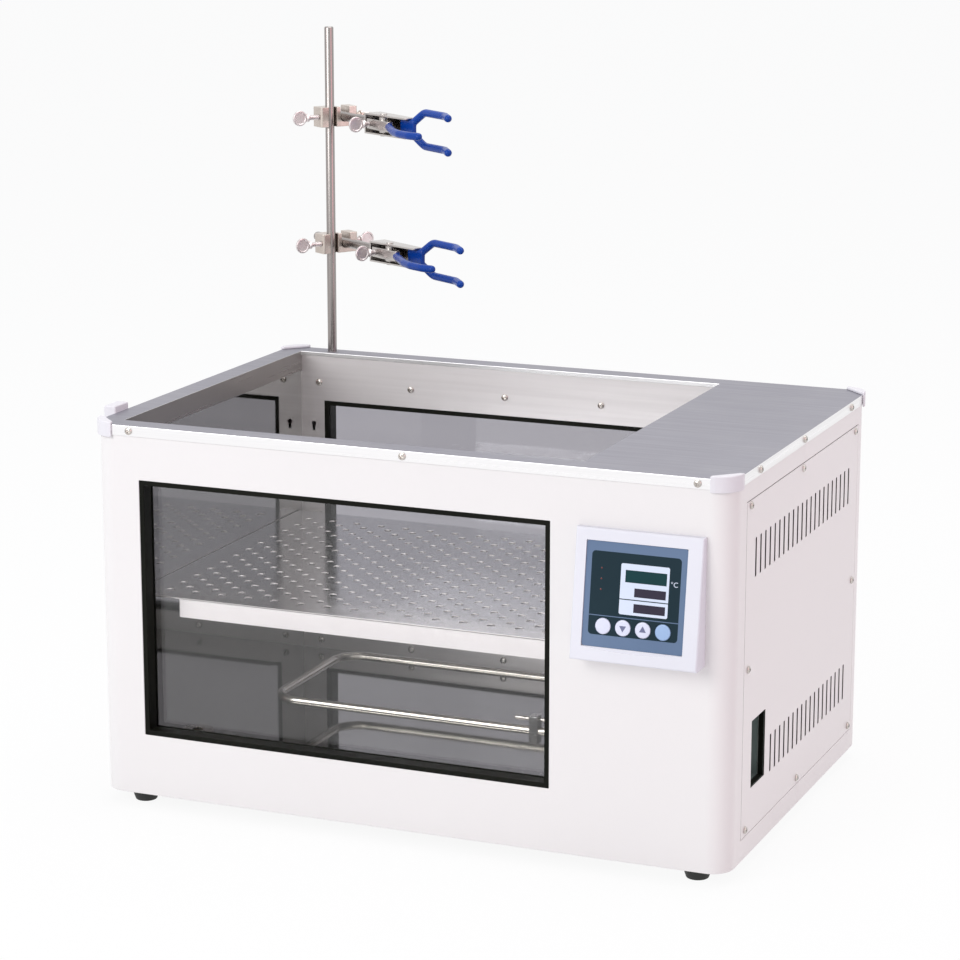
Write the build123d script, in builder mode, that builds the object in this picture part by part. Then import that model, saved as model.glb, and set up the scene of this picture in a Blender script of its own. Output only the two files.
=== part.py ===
from build123d import *
from math import atan, cos, radians, sin
import os

# A bench-top water bath with glazed front and back, after its photograph. Millimetres, +Z up, -Y to the front.
# The origin lies on the bench, under the middle of everything that sticks out.

# Body
body_width = 600.0
body_depth = 404.0
body_height = 343.0
corner_radius = 20.0
shell_sheet = 1.2
foot_height = 12.0
seam_from_front = 204.0

# Tank
tank_left = 20.0
compartment_width = 138.0
tank_margin = 20.0
tank_floor_height = 35.5
liner_sheet = 1.2
tank_flange = 13.0

# Rim frame
frame_sheet = 1.2
skirt_sheet = 1.0
skirt_height = 9.5
lip_sheet = 0.8
lip_depth = 4.0
left_lip_depth = 20.0
cap_proud = 3.0
cap_arc_sides = 32
cap_end = 4.0
cap_drop = 11.5
cap_top = 2.6

# Windows, in the body's front and back
window_from_tank_left = 25.5
window_from_tank_right = 23.5
window_bottom = 57.0
window_from_top = 49.0
gasket_face = 4.5
gasket_inset = 0.4
glass_thickness = 5.0
glass_recess = 14.0
glass_bite = 3.0
clamp_frame_sheet = 1.5
clamp_frame_flange = 22.0
clamp_frame_side = 6.0

# Fasteners
screw_head_radius = 3.85
screw_head_height = 2.2
screw_shank_radius = 1.9
screw_head_sides = 6
screw_shank_sides = 4
window_screws_per_row = 5
window_screw_inset = 20.0
window_screw_above = 18.4
window_screw_below = 12.0
rim_screw_from_left = 37.0
rim_screw_from_right = 31.0
rim_screw_right_of_middle = 3.0
rim_screw_from_front = 69.0
rim_screw_from_rear = 57.0
rim_screw_before_middle = 4.0
thread_tip = 1.5
hole_fit = 0.2

# Side cover
cover_front = 38.0
cover_from_rear = 28.0
cover_bottom = 20.0
cover_from_top = 27.0
cover_gap = 0.5
cover_ledge = 16.0
cover_screw_inset = 10.0
cover_top_screw_inset = 4.2
cover_bottom_screw_inset = 6.0
cover_screw_before_middle = 8.0
slot_pitch = 13.45
slot_width = 4.0
slot_height = 34.0
slots_from_rear = 29.0
slots_from_front = 26.0
slots_from_breaker = 15.0
upper_slots_from_top = 52.5
lower_slots_from_bottom = 54.2
breaker_slot_front = 62.5
breaker_slot_width = 39.0
breaker_slot_bottom = 59.0
breaker_slot_height = 60.0

# Shelf
shelf_top = 181.0
shelf_sheet = 1.2
shelf_side_gap = 1.5
shelf_end_gap = 10.0
shelf_flange = 18.0
shelf_notch = 44.0
hole_pitch = 26.4
hole_radius = 3.6
hole_sides = 4
hole_from_left = 25.4
hole_from_right = 43.0
hole_from_front = 23.5
hole_from_rear = 29.0

# Shelf supports and the keyholes that they hang in
support_width = 17.0
support_height = 20.0
support_ledge = 20.0
support_sheet = 1.5
support_from_side = 13.4
keyhole_radius = 2.6
keyhole_slot_width = 3.0
keyhole_drop = 5.5
keyhole_sides = 8
keyhole_below_shelf = 9.0
keyhole_rise = 97.6
stud_radius = 1.4
stud_head_radius = 2.3
stud_head_height = 1.2
stud_sides = 6

# Heater, sensor and their entry in the tank's right wall
heater_radius = 4.0
heater_level = 71.0
heater_left = 117.0
heater_front_leg = 108.0
heater_rear_leg_from_rear = 140.0
heater_bend = 26.0
heater_bend_steps = (0, 30, 60, 90)
heater_sides = 12
heater_tail = 18.0
gland_radius = 8.0
gland_height = 7.0
gland_sides = 6
gland_fit = 0.05
sensor_radius = 2.0
sensor_sides = 8
sensor_lift = 11.0
sensor_reach = 98.0
clip_from_tip = 16.0
clip_width = 8.0
clip_wall = 1.5
clip_drop = 11.0

# Control panel
bezel_from_right = 22.5
bezel_width = 113.0
bezel_from_top = 49.5
bezel_height = 111.5
bezel_top_depth = 6.0
bezel_bottom_depth = 22.0
bezel_edge = 2.0
bezel_wall = 2.5
bezel_face = 4.6
bezel_cutout_border = 5.0
recess_width = 89.6
recess_height = 89.5
recess_depth = 2.6
recess_lift = 1.3
lip_scoop = 3.2
lip_scoop_depth = 1.3
bezel_ledge = 6.0
recess_shift = -1.7
panel_thickness = 1.6
panel_fit = 0.15
main_display = (36.5, 10.4)
small_display = (27.8, 7.4)
main_display_middle = (9.2, 17.3)
set_display_middle = (13.4, 4.0)
limit_display_middle = (13.4, -9.1)
display_inset = 0.3
button_radius = 6.9
button_pitch = 17.65
button_sides = 16
button_flange = 1.0
button_flange_height = 1.2
button_proud = 0.4
button_travel = 0.6
button_drop = 26.7
button_clearance = 0.2
button_count = 4

# Electrical compartment
board_gap = 14.0
board_thickness = 1.6
board_width = 96.0
board_height = 92.0
post_radius = 2.5
post_inset = 4.0
post_sides = 6
breaker_recess = 13.0
breaker_depth = 42.0
breaker_shroud = 3.0
toggle_from_edge = 7.5
toggle_width = 7.0
toggle_hub_radius = 6.0
toggle_hub_sides = 12
toggle_handle_height = 4.6
toggle_reach = 9.5
toggle_sink = 5.0
toggle_tilt = 15.0
toggle_throw = 30.0
toggle_gap = 0.4
toggle_pin_radius = 1.5
toggle_pin_length = 2.0
toggle_pin_sides = 8
toggle_pin_fit = 0.05
block_from_right = 65.0
block_from_front = 190.0
block_width = 24.0
block_length = 90.0
block_height = 30.0
block_ways = 6
block_slot = 7.0
block_slot_depth = 18.0
relay_from_right = 75.0
relay_from_rear = 94.0
relay_width = 60.0
relay_depth = 46.0
relay_height = 26.0
fin_count = 7
fin_height = 24.0
fin_thickness = 2.0

# Drain
drain_from_left = 52.3
drain_from_front = 90.0
drain_radius = 8.0
drain_bore = 5.5
drain_sides = 12
drain_flange_radius = 15.0
drain_flange_height = 2.0
drain_level = 14.0
drain_bend = 11.0
drain_stub = 6.3
outlet_reach = 36.0
drain_cap_grip = 15.0
drain_cap_radius = 12.0
drain_cap_sides = 12
drain_cap_end = 5.0
drain_cap_bore_sides = 24
thread_clearance = 0.05

# Cord gland, rim block, base plate and feet
cord_from_right = 60.0
cord_level = 34.0
cord_gland_radius = 10.0
cord_gland_sides = 12
cord_nut_radius = 13.0
cord_nut_height = 5.0
cord_dome_radius = 8.5
cord_dome_height = 9.0
cord_shank = 9.0
cord_bore = 4.5
rim_block_reach = 14.0
rim_block_front = 44.0
rim_block_width = 24.0
rim_block_rise = 6.0
rim_block_drop = 22.0
rim_block_edge = 3.0
base_flange = 11.0
base_fit = 0.2
foot_inset_side = 33.0
foot_inset_front = 22.0
foot_top_radius = 14.0
foot_bottom_radius = 10.0
foot_sides = 12

# Stand rod and its socket
rod_radius = 4.5
rod_from_left = 50.0
rod_from_back = 9.5
rod_above_rim = 323.0
socket_radius = 6.5
socket_sides = 12
socket_floor = 3.0
socket_depth = 22.0
rod_running_fit = 0.05
frame_hole_gap = 0.4
rod_chamfer = 0.7

# Boss heads, clamp rods and three-finger clamps, each in its own frame:
# x along the clamp rod, y from the stand rod to the clamp rod, z up
clamp_names = ("upper", "lower")
clamp_levels = (235.0, 109.5)
clamp_swings = (36.0, 32.0)
clamp_rod_radius = 4.75
clamp_rod_sides = 16
clamp_rod_offset = 13.5
clamp_rod_tail = 50.0
boss_height = 19.5
boss_back = 11.0
boss_open = 6.5
boss_front_wall = 8.5
boss_rear_wall = 9.5
boss_chamfer = 1.5
throat_sides = 12
slide_clearance = 0.05

# Winged screws
screw_radius = 2.5
screw_sides = 8
screw_fit = 0.05
tip_gap = 0.3
collar_radius = 4.2
collar_height = 3.0
wing_radius = 7.6
wing_sink = 1.0
wing_thickness = 2.6
wing_sides = 12
upright_screw_length = 19.0
cross_screw_length = 16.0
jaw_screw_length = 21.0

# Clamp heads, measured from the clamp rod's axis
head_start = 67.0
head_length = 66.0
head_height = 20.0
head_sheet = 1.6
head_web_side = 6.0
head_open_side = 12.0
head_nose_side = 5.0
spigot_radius = 3.0
spigot_fit = 0.05
rivet_radius = 4.0
rivet_height = 1.2
rivet_gap = 0.1
pivot_along = 24.0
pivot_back = 4.0
pivot_radius = 2.2
pivot_sides = 10
pivot_fit = 0.05
pivot_head_radius = 3.6
pivot_head_height = 1.0
prong_radius = 3.7
prong_sides = 8
fork_root = 47.0
fork_strap = 5.0
fork_strap_half = 8.0
fork_neck = 72.0
fork_split = 70.0
fork_split_half = 4.5
fork_corner = 80.0
fork_bend = 118.0
fork_tip = 140.0
fork_half = 16.0
fork_side = 9.0
fork_tip_side = 0.0
finger_points = ((41.0, -8.5), (61.0, -17.5), (83.0, -27.0), (99.0, -30.5), (117.0, -30.0), (133.0, -25.0))
jaw_half_height = 5.0
jaw_hub_radius = 4.6
jaw_tail = 15.0
jaw_side_gap = 0.4
lug_length = 10.0
lug_inner_side = 5.0
lug_outer_side = 12.0
finger_overlap = 4.0

# Places worked out from the sizes above
bezel_slope = (bezel_bottom_depth - bezel_top_depth) / bezel_height
bezel_tilt = atan(bezel_slope)
front_reach = bezel_bottom_depth - bezel_edge * (bezel_slope + 1 / cos(bezel_tilt) - 1)
rear_reach = outlet_reach + tip_gap + drain_cap_end
left_x = -(body_width + cap_proud - rim_block_reach) / 2
front_y = -(body_depth + rear_reach - front_reach) / 2
right_x = left_x + body_width
rear_y = front_y + body_depth
middle_x = left_x + body_width / 2
middle_y = front_y + body_depth / 2
bottom_z = foot_height
rim_z = bottom_z + body_height
shell_top_z = rim_z - frame_sheet - liner_sheet

tank_x0 = left_x + tank_left
tank_x1 = right_x - compartment_width
tank_y0 = front_y + tank_margin
tank_y1 = rear_y - tank_margin
tank_z0 = bottom_z + tank_floor_height
tank_middle_x = (tank_x0 + tank_x1) / 2
rod_x = left_x + rod_from_left
rod_y = rear_y - rod_from_back
tank_width = tank_x1 - tank_x0
tank_depth = tank_y1 - tank_y0

window_width = tank_width - window_from_tank_left - window_from_tank_right
window_height = body_height - window_bottom - window_from_top
window_x = tank_x0 + window_from_tank_left + window_width / 2
window_z = bottom_z + window_bottom + window_height / 2
bezel_left = body_width - bezel_from_right - bezel_width
bezel_bottom = body_height - bezel_from_top - bezel_height
cord_from_left = body_width - cord_from_right
keyhole_levels = (shelf_top - keyhole_below_shelf, shelf_top - keyhole_below_shelf + keyhole_rise)

cover_rear = body_depth - cover_from_rear
cover_top = body_height - cover_from_top
slot_last = cover_rear - slots_from_rear
upper_slots = int((slot_last - cover_front - slots_from_front) / slot_pitch) + 1
upper_slot_middle = cover_top - upper_slots_from_top
breaker_slot_rear = breaker_slot_front + breaker_slot_width
lower_slots = int((slot_last - breaker_slot_rear - slots_from_breaker) / slot_pitch) + 1
lower_slot_middle = cover_bottom + lower_slots_from_bottom
cover_middle_y = front_y + (cover_front + cover_rear) / 2
cover_middle_z = bottom_z + (cover_bottom + cover_top) / 2
cover_length = cover_rear - cover_front
cover_height = cover_top - cover_bottom

os.makedirs("parts", exist_ok=True)


def write(piece, name):
    """Label a finished piece and write it as one STEP file."""
    piece.label = name
    export_step(piece, f"parts/{name}.step")


# Housing
def body_outline(grow=0.0, mode=Mode.ADD):
    """Rounded plan of the body, grown outwards by a distance."""
    with Locations((middle_x, middle_y)):
        RectangleRounded(body_width + 2 * grow, body_depth + 2 * grow, corner_radius + grow, mode=mode)


def tank_outline(grow=0.0, mode=Mode.ADD):
    """Plan of the inside of the tank, grown outwards by a distance."""
    with Locations((tank_middle_x, middle_y)):
        Rectangle(tank_width + 2 * grow, tank_depth + 2 * grow, mode=mode)


def across_y(y):
    """Upright plane across Y that faces the front."""
    return Plane((0, y, 0), x_dir=(1, 0, 0), z_dir=(0, -1, 0))


def window_rectangle(grow_width=0.0, grow_height=0.0, mode=Mode.ADD):
    """A window opening, grown outwards to the sides and upwards and downwards, in a plane across Y."""
    with Locations((window_x, window_z)):
        Rectangle(window_width + 2 * grow_width, window_height + 2 * grow_height, mode=mode)


def side_rectangle(length, height, mode=Mode.ADD):
    """Rectangle round the middle of the side cover, in a plane across X."""
    with Locations((cover_middle_y, cover_middle_z)):
        Rectangle(length, height, mode=mode)


def through_hole(seat, radius, sides, reach):
    """Cut a hole with flat sides right through the sheet at a plane."""
    with BuildSketch(seat, mode=Mode.PRIVATE) as outline:
        RegularPolygon(radius, sides, major_radius=False)
    extrude(outline.sketch, amount=reach, both=True, mode=Mode.SUBTRACT)


def half_shell(front_half):
    """One painted sheet wrap, from its back or front face round to the seam on both sides."""
    seam_y = front_y + seam_from_front
    window_y = front_y if front_half else rear_y
    cut_depth = body_depth - seam_from_front if front_half else seam_from_front
    cut_y = seam_y + cut_depth / 2 if front_half else seam_y - cut_depth / 2
    with BuildPart() as shell:
        with BuildSketch(Plane.XY.offset(bottom_z)):
            body_outline()
        extrude(amount=shell_top_z - bottom_z)
        with BuildSketch(Plane.XY.offset(bottom_z)):
            body_outline(-shell_sheet)
        extrude(amount=shell_top_z - bottom_z - shell_sheet, mode=Mode.SUBTRACT)
        return_edge = tank_margin - liner_sheet - base_fit
        with BuildSketch(Plane.XY.offset(shell_top_z)):
            with Locations((middle_x, middle_y)):
                Rectangle(body_width - 2 * return_edge, body_depth - 2 * return_edge)
        extrude(amount=-shell_sheet, mode=Mode.SUBTRACT)
        with BuildSketch(Plane.YZ.offset(right_x - 2 * shell_sheet)):
            side_rectangle(cover_length + cover_ledge, cover_height + cover_ledge)
            side_rectangle(cover_length - cover_ledge * 2, cover_height - cover_ledge * 2, Mode.SUBTRACT)
        extrude(amount=shell_sheet)
        with BuildSketch(Plane.YZ.offset(right_x)):
            side_rectangle(cover_length + 2 * cover_gap, cover_height + 2 * cover_gap)
        extrude(amount=-shell_sheet, mode=Mode.SUBTRACT)
        with Locations((window_x, window_y, window_z)):
            Box(window_width, 4 * shell_sheet, window_height, mode=Mode.SUBTRACT)
        with Locations((middle_x, cut_y, rim_z / 2)):
            Box(body_width, cut_depth, rim_z, mode=Mode.SUBTRACT)
        if front_half:
            with Locations((left_x + bezel_left + bezel_width / 2, front_y, bottom_z + bezel_bottom + bezel_height / 2)):
                Box(
                    bezel_width - 2 * bezel_cutout_border,
                    4 * shell_sheet,
                    bezel_height - 2 * bezel_cutout_border,
                    mode=Mode.SUBTRACT,
                )
        else:
            drain_seat = Plane((left_x + drain_from_left, rear_y, bottom_z + drain_level), z_dir=(0, 1, 0))
            cord_seat = Plane((left_x + cord_from_left, rear_y, bottom_z + cord_level), z_dir=(0, 1, 0))
            through_hole(drain_seat, drain_radius + hole_fit, drain_sides, 2 * shell_sheet)
            through_hole(cord_seat, cord_gland_radius + hole_fit, cord_gland_sides, 2 * shell_sheet)
            through_hole(Plane((rod_x, rod_y, shell_top_z)), socket_radius + hole_fit, socket_sides, 2 * shell_sheet)
    return shell.part


write(half_shell(True), "front_shell")
write(half_shell(False), "rear_shell")

with BuildPart() as base_plate:
    with BuildSketch(Plane.XY.offset(bottom_z)):
        body_outline(-shell_sheet - base_fit)
    extrude(amount=base_flange)
    with BuildSketch(Plane.XY.offset(bottom_z + shell_sheet)):
        body_outline(-2 * shell_sheet - base_fit)
    extrude(amount=base_flange, mode=Mode.SUBTRACT)
    drain_seat = Plane((left_x + drain_from_left, rear_y, bottom_z + drain_level), z_dir=(0, 1, 0))
    through_hole(drain_seat, drain_radius + hole_fit, drain_sides, 4 * shell_sheet)
write(base_plate.part, "base_plate")

with BuildPart() as foot:
    with BuildSketch():
        RegularPolygon(foot_bottom_radius, foot_sides)
    with BuildSketch(Plane.XY.offset(foot_height)):
        RegularPolygon(foot_top_radius, foot_sides)
    loft(ruled=True)

with BuildPart() as rubber_feet:
    foot_x = body_width / 2 - foot_inset_side
    foot_y = body_depth / 2 - foot_inset_front
    with Locations((middle_x, middle_y)):
        with GridLocations(2 * foot_x, 2 * foot_y, 2, 2):
            add(foot.part)
write(rubber_feet.part, "rubber_feet")

with BuildPart() as side_cover:
    with BuildSketch(Plane.YZ.offset(right_x - shell_sheet)):
        side_rectangle(cover_length, cover_height)
        for row_slots, row_middle in ((upper_slots, upper_slot_middle), (lower_slots, lower_slot_middle)):
            row_centre = front_y + slot_last - slot_pitch * (row_slots - 1) / 2
            with Locations((row_centre, bottom_z + row_middle)):
                with GridLocations(slot_pitch, slot_height, row_slots, 1):
                    Rectangle(slot_width, slot_height, mode=Mode.SUBTRACT)
        breaker_slot_y = front_y + breaker_slot_front + breaker_slot_width / 2
        breaker_slot_z = bottom_z + breaker_slot_bottom + breaker_slot_height / 2
        with Locations((breaker_slot_y, breaker_slot_z)):
            Rectangle(breaker_slot_width, breaker_slot_height, mode=Mode.SUBTRACT)
    extrude(amount=shell_sheet)
write(side_cover.part, "side_cover")

# Tank
with BuildPart() as tank:
    with BuildSketch(Plane.XY.offset(tank_z0 - liner_sheet)):
        tank_outline(liner_sheet)
    extrude(amount=shell_top_z - tank_z0 + 2 * liner_sheet)
    with BuildSketch(Plane.XY.offset(shell_top_z)):
        tank_outline(tank_flange)
    extrude(amount=liner_sheet)
    with BuildSketch(Plane.XY.offset(tank_z0)):
        tank_outline()
    extrude(amount=body_height, mode=Mode.SUBTRACT)
    with BuildSketch(across_y(tank_y0 - liner_sheet)):
        window_rectangle()
        for level in keyhole_levels:
            for keyhole_x in (tank_x0 + support_from_side, tank_x1 - support_from_side):
                with Locations((keyhole_x, bottom_z + level)):
                    RegularPolygon(keyhole_radius, keyhole_sides)
                with Locations((keyhole_x, bottom_z + level - keyhole_drop / 2)):
                    Rectangle(keyhole_slot_width, keyhole_drop + keyhole_slot_width)
    extrude(amount=-(tank_depth + 2 * liner_sheet), mode=Mode.SUBTRACT)
    drain_seat = Plane((left_x + drain_from_left, front_y + drain_from_front, tank_z0))
    through_hole(drain_seat, drain_radius + hole_fit, drain_sides, 2 * liner_sheet)
    for leg_y in (front_y + heater_front_leg, rear_y - heater_rear_leg_from_rear):
        leg_seat = Plane((tank_x1, leg_y, bottom_z + heater_level), z_dir=(1, 0, 0))
        through_hole(leg_seat, heater_radius + hole_fit, heater_sides, 2 * liner_sheet)
    sensor_seat = (tank_x1, front_y + heater_front_leg, bottom_z + heater_level + sensor_lift)
    through_hole(Plane(sensor_seat, z_dir=(1, 0, 0)), sensor_radius + hole_fit, sensor_sides, 2 * liner_sheet)
    through_hole(Plane((rod_x, rod_y, shell_top_z)), socket_radius + hole_fit, socket_sides, 2 * liner_sheet)
write(tank.part, "tank")

# Rim frame: top sheet, skirt outside the shell and a lip inside the tank
with BuildPart() as top_frame:
    with BuildSketch(Plane.XY.offset(rim_z - frame_sheet)):
        body_outline(skirt_sheet)
        tank_outline(-lip_sheet, Mode.SUBTRACT)
        with Locations((rod_x, rod_y)):
            RegularPolygon(rod_radius + frame_hole_gap, socket_sides, major_radius=False, mode=Mode.SUBTRACT)
    extrude(amount=frame_sheet)
    with BuildSketch(Plane.XY.offset(rim_z - skirt_height)):
        body_outline(skirt_sheet)
        body_outline(mode=Mode.SUBTRACT)
    extrude(amount=skirt_height)
    with BuildSketch(Plane.XY.offset(rim_z - lip_depth)):
        tank_outline()
        tank_outline(-lip_sheet, Mode.SUBTRACT)
    extrude(amount=lip_depth)
    with Locations((tank_x0, middle_y, rim_z)):
        Box(lip_sheet, tank_depth, left_lip_depth, align=(Align.MIN, Align.CENTER, Align.MAX))
write(top_frame.part, "top_frame")


def corner_cap(side_x, side_y):
    """Moulded cap over one corner of the rim, cut straight across on its inner side."""
    bend_x = middle_x + side_x * (body_width / 2 - corner_radius)
    bend_y = middle_y + side_y * (body_depth / 2 - corner_radius)
    cap_radius = corner_radius + cap_proud
    with BuildPart() as cap:
        with BuildSketch(Plane.XY.offset(rim_z - cap_drop)):
            with Locations((bend_x, bend_y)):
                RegularPolygon(cap_radius, cap_arc_sides)
                Polygon(
                    (0, side_y * cap_radius),
                    (0, side_y * (cap_radius - cap_end)),
                    (side_x * (cap_radius - cap_end), 0),
                    (side_x * cap_radius, 0),
                    (side_x * cap_radius, side_y * cap_radius),
                    align=None,
                    mode=Mode.INTERSECT,
                )
        extrude(amount=cap_drop + cap_top)
        with BuildSketch(Plane.XY.offset(rim_z - cap_drop)):
            with Locations((bend_x, bend_y)):
                RegularPolygon(corner_radius + skirt_sheet, cap_arc_sides, major_radius=False)
        extrude(amount=cap_drop, mode=Mode.SUBTRACT)
    return cap.part


write(corner_cap(-1, -1), "corner_cap_front_left")
write(corner_cap(1, -1), "corner_cap_front_right")
write(corner_cap(-1, 1), "corner_cap_rear_left")
write(corner_cap(1, 1), "corner_cap_rear_right")

with BuildPart() as rim_block:
    with Locations((left_x - skirt_sheet, front_y + rim_block_front + rim_block_width / 2, rim_z + rim_block_rise)):
        Box(
            rim_block_reach - skirt_sheet,
            rim_block_width,
            rim_block_rise + rim_block_drop,
            align=(Align.MAX, Align.CENTER, Align.MAX),
        )
    fillet(rim_block.faces().sort_by(Axis.X)[0].edges(), rim_block_edge)
write(rim_block.part, "rim_block")


# Windows
def window_gasket(face_y, inward):
    """Rubber ring through the shell and the tank wall, with a groove round the glass."""
    with BuildPart() as gasket:
        with BuildSketch(across_y(face_y + inward * gasket_inset)):
            window_rectangle()
            window_rectangle(-gasket_face, -gasket_face, Mode.SUBTRACT)
        extrude(amount=-inward * (tank_margin - gasket_inset))
        with BuildSketch(across_y(face_y + inward * glass_recess)):
            window_rectangle(glass_bite - gasket_face, glass_bite - gasket_face)
        extrude(amount=-inward * glass_thickness, mode=Mode.SUBTRACT)
    return gasket.part


def window_glass(face_y, inward):
    """Pane that sits in the groove of its gasket."""
    with BuildPart() as glass:
        with BuildSketch(across_y(face_y + inward * glass_recess)):
            window_rectangle(glass_bite - gasket_face, glass_bite - gasket_face)
        extrude(amount=-inward * glass_thickness)
    return glass.part


write(window_gasket(front_y, 1), "gasket_front")
write(window_gasket(rear_y, -1), "gasket_rear")
write(window_glass(front_y, 1), "glass_front")
write(window_glass(rear_y, -1), "glass_rear")

with BuildPart() as window_frames:
    for face_y, inward in ((front_y, 1), (rear_y, -1)):
        with BuildSketch(across_y(face_y + inward * shell_sheet)):
            window_rectangle(clamp_frame_sheet, clamp_frame_sheet)
            window_rectangle(mode=Mode.SUBTRACT)
        extrude(amount=-inward * (tank_margin - liner_sheet - shell_sheet))
        with BuildSketch(across_y(face_y + inward * (tank_margin - liner_sheet))):
            window_rectangle(clamp_frame_side, clamp_frame_flange)
            window_rectangle(mode=Mode.SUBTRACT)
        extrude(amount=inward * clamp_frame_sheet)
write(window_frames.part, "window_frames")


# Screws: each seat is a plane on the outer sheet that faces the head
def screws(seats, grip):
    """Pan-head screws whose threaded shanks reach through their sheets."""
    with BuildPart() as screw_set:
        with BuildSketch(*seats):
            RegularPolygon(screw_head_radius, screw_head_sides)
        extrude(amount=screw_head_height)
        with BuildSketch(*seats):
            RegularPolygon(screw_shank_radius, screw_shank_sides)
        extrude(amount=-grip)
    return screw_set.part


window_seats = []
window_screw_pitch = (tank_width - 2 * window_screw_inset) / (window_screws_per_row - 1)
for index in range(window_screws_per_row):
    for level in (window_bottom - window_screw_below, window_bottom + window_height + window_screw_above):
        for wall_y, facing in ((tank_y0, 1), (tank_y1, -1)):
            seat = (tank_x0 + window_screw_inset + index * window_screw_pitch, wall_y, bottom_z + level)
            window_seats.append(Plane(seat, x_dir=(1, 0, 0), z_dir=(0, facing, 0)))
write(screws(window_seats, liner_sheet + clamp_frame_sheet + thread_tip), "window_screws")

rim_seats = []
rim_screw_z = rim_z - skirt_height / 2
rim_screw_fronts = (
    rim_screw_from_left,
    body_width / 2 + rim_screw_right_of_middle,
    body_width - rim_screw_from_right,
)
rim_screw_sides = (
    rim_screw_from_front,
    body_depth / 2 - rim_screw_before_middle,
    body_depth - rim_screw_from_rear,
)
for place in rim_screw_fronts:
    for face_y, facing in ((front_y - skirt_sheet, -1), (rear_y + skirt_sheet, 1)):
        rim_seats.append(Plane((left_x + place, face_y, rim_screw_z), x_dir=(1, 0, 0), z_dir=(0, facing, 0)))
for place in rim_screw_sides:
    rim_seats.append(Plane((right_x + skirt_sheet, front_y + place, rim_screw_z), x_dir=(0, 1, 0), z_dir=(1, 0, 0)))
for place in rim_screw_sides[1:]:
    rim_seats.append(Plane((left_x - skirt_sheet, front_y + place, rim_screw_z), x_dir=(0, 1, 0), z_dir=(-1, 0, 0)))
write(screws(rim_seats, skirt_sheet + shell_sheet + thread_tip), "rim_screws")

cover_seats = []
cover_low = cover_bottom + cover_bottom_screw_inset
cover_high = cover_top - cover_top_screw_inset
for place in (cover_front + cover_screw_inset, cover_rear - cover_screw_inset):
    for level in (cover_low, (cover_low + cover_high) / 2, cover_high):
        cover_seats.append(Plane((right_x, front_y + place, bottom_z + level), x_dir=(0, 1, 0), z_dir=(1, 0, 0)))
for level in (cover_low, cover_high):
    seat = (right_x, cover_middle_y - cover_screw_before_middle, bottom_z + level)
    cover_seats.append(Plane(seat, x_dir=(0, 1, 0), z_dir=(1, 0, 0)))
write(screws(cover_seats, 2 * shell_sheet + thread_tip), "cover_screws")

# Perforated shelf: a square grid of holes, each drawn with flat sides
shelf_z = bottom_z + shelf_top
shelf_length = tank_width - 2 * shelf_side_gap
shelf_depth = tank_depth - 2 * shelf_end_gap
first_hole_x = tank_x0 + shelf_side_gap + hole_from_left
first_hole_y = tank_y0 + shelf_end_gap + hole_from_front
hole_columns = int((shelf_length - hole_from_left - hole_from_right) / hole_pitch) + 1
hole_rows = int((shelf_depth - hole_from_front - hole_from_rear) / hole_pitch) + 1
hole_middle_x = first_hole_x + hole_pitch * (hole_columns - 1) / 2
hole_middle_y = first_hole_y + hole_pitch * (hole_rows - 1) / 2
with BuildPart() as shelf:
    with BuildSketch(Plane.XY.offset(shelf_z - shelf_sheet)):
        with Locations((tank_middle_x, middle_y)):
            Rectangle(shelf_length, shelf_depth)
        with Locations((hole_middle_x, hole_middle_y)):
            with GridLocations(hole_pitch, hole_pitch, hole_columns, hole_rows):
                RegularPolygon(hole_radius, hole_sides, mode=Mode.SUBTRACT)
    extrude(amount=shelf_sheet)
    with Locations((tank_middle_x, middle_y, shelf_z)):
        with GridLocations(0, shelf_depth - shelf_sheet, 1, 2):
            Box(
                shelf_length - 2 * shelf_notch,
                shelf_sheet,
                shelf_flange,
                align=(Align.CENTER, Align.CENTER, Align.MAX),
            )
write(shelf.part, "shelf")

# Shelf supports: a ledge, a plate against the wall and a headed stud in a keyhole
ledge_z = shelf_z - shelf_sheet
with BuildPart() as shelf_supports:
    for keyhole_x in (tank_x0 + support_from_side, tank_x1 - support_from_side):
        for wall_y, inward in ((tank_y0, 1), (tank_y1, -1)):
            with BuildSketch(Plane.YZ.offset(keyhole_x)):
                with BuildLine():
                    Polyline(
                        (wall_y, ledge_z),
                        (wall_y + inward * support_ledge, ledge_z),
                        (wall_y + inward * support_ledge, ledge_z - support_sheet),
                        (wall_y + inward * support_sheet, ledge_z - support_sheet),
                        (wall_y + inward * support_sheet, ledge_z - support_height),
                        (wall_y, ledge_z - support_height),
                        close=True,
                    )
                make_face()
            extrude(amount=support_width / 2, both=True)
            stud_seat = (keyhole_x, wall_y, bottom_z + keyhole_levels[0] - keyhole_drop)
            with BuildSketch(Plane(stud_seat, x_dir=(1, 0, 0), z_dir=(0, -inward, 0))):
                RegularPolygon(stud_radius, stud_sides)
            extrude(amount=liner_sheet + hole_fit + stud_head_height)
            head_seat = (stud_seat[0], wall_y - inward * (liner_sheet + hole_fit), stud_seat[2])
            with BuildSketch(Plane(head_seat, x_dir=(1, 0, 0), z_dir=(0, -inward, 0))):
                RegularPolygon(stud_head_radius, stud_sides)
            extrude(amount=stud_head_height)
write(shelf_supports.part, "shelf_supports")

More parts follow.
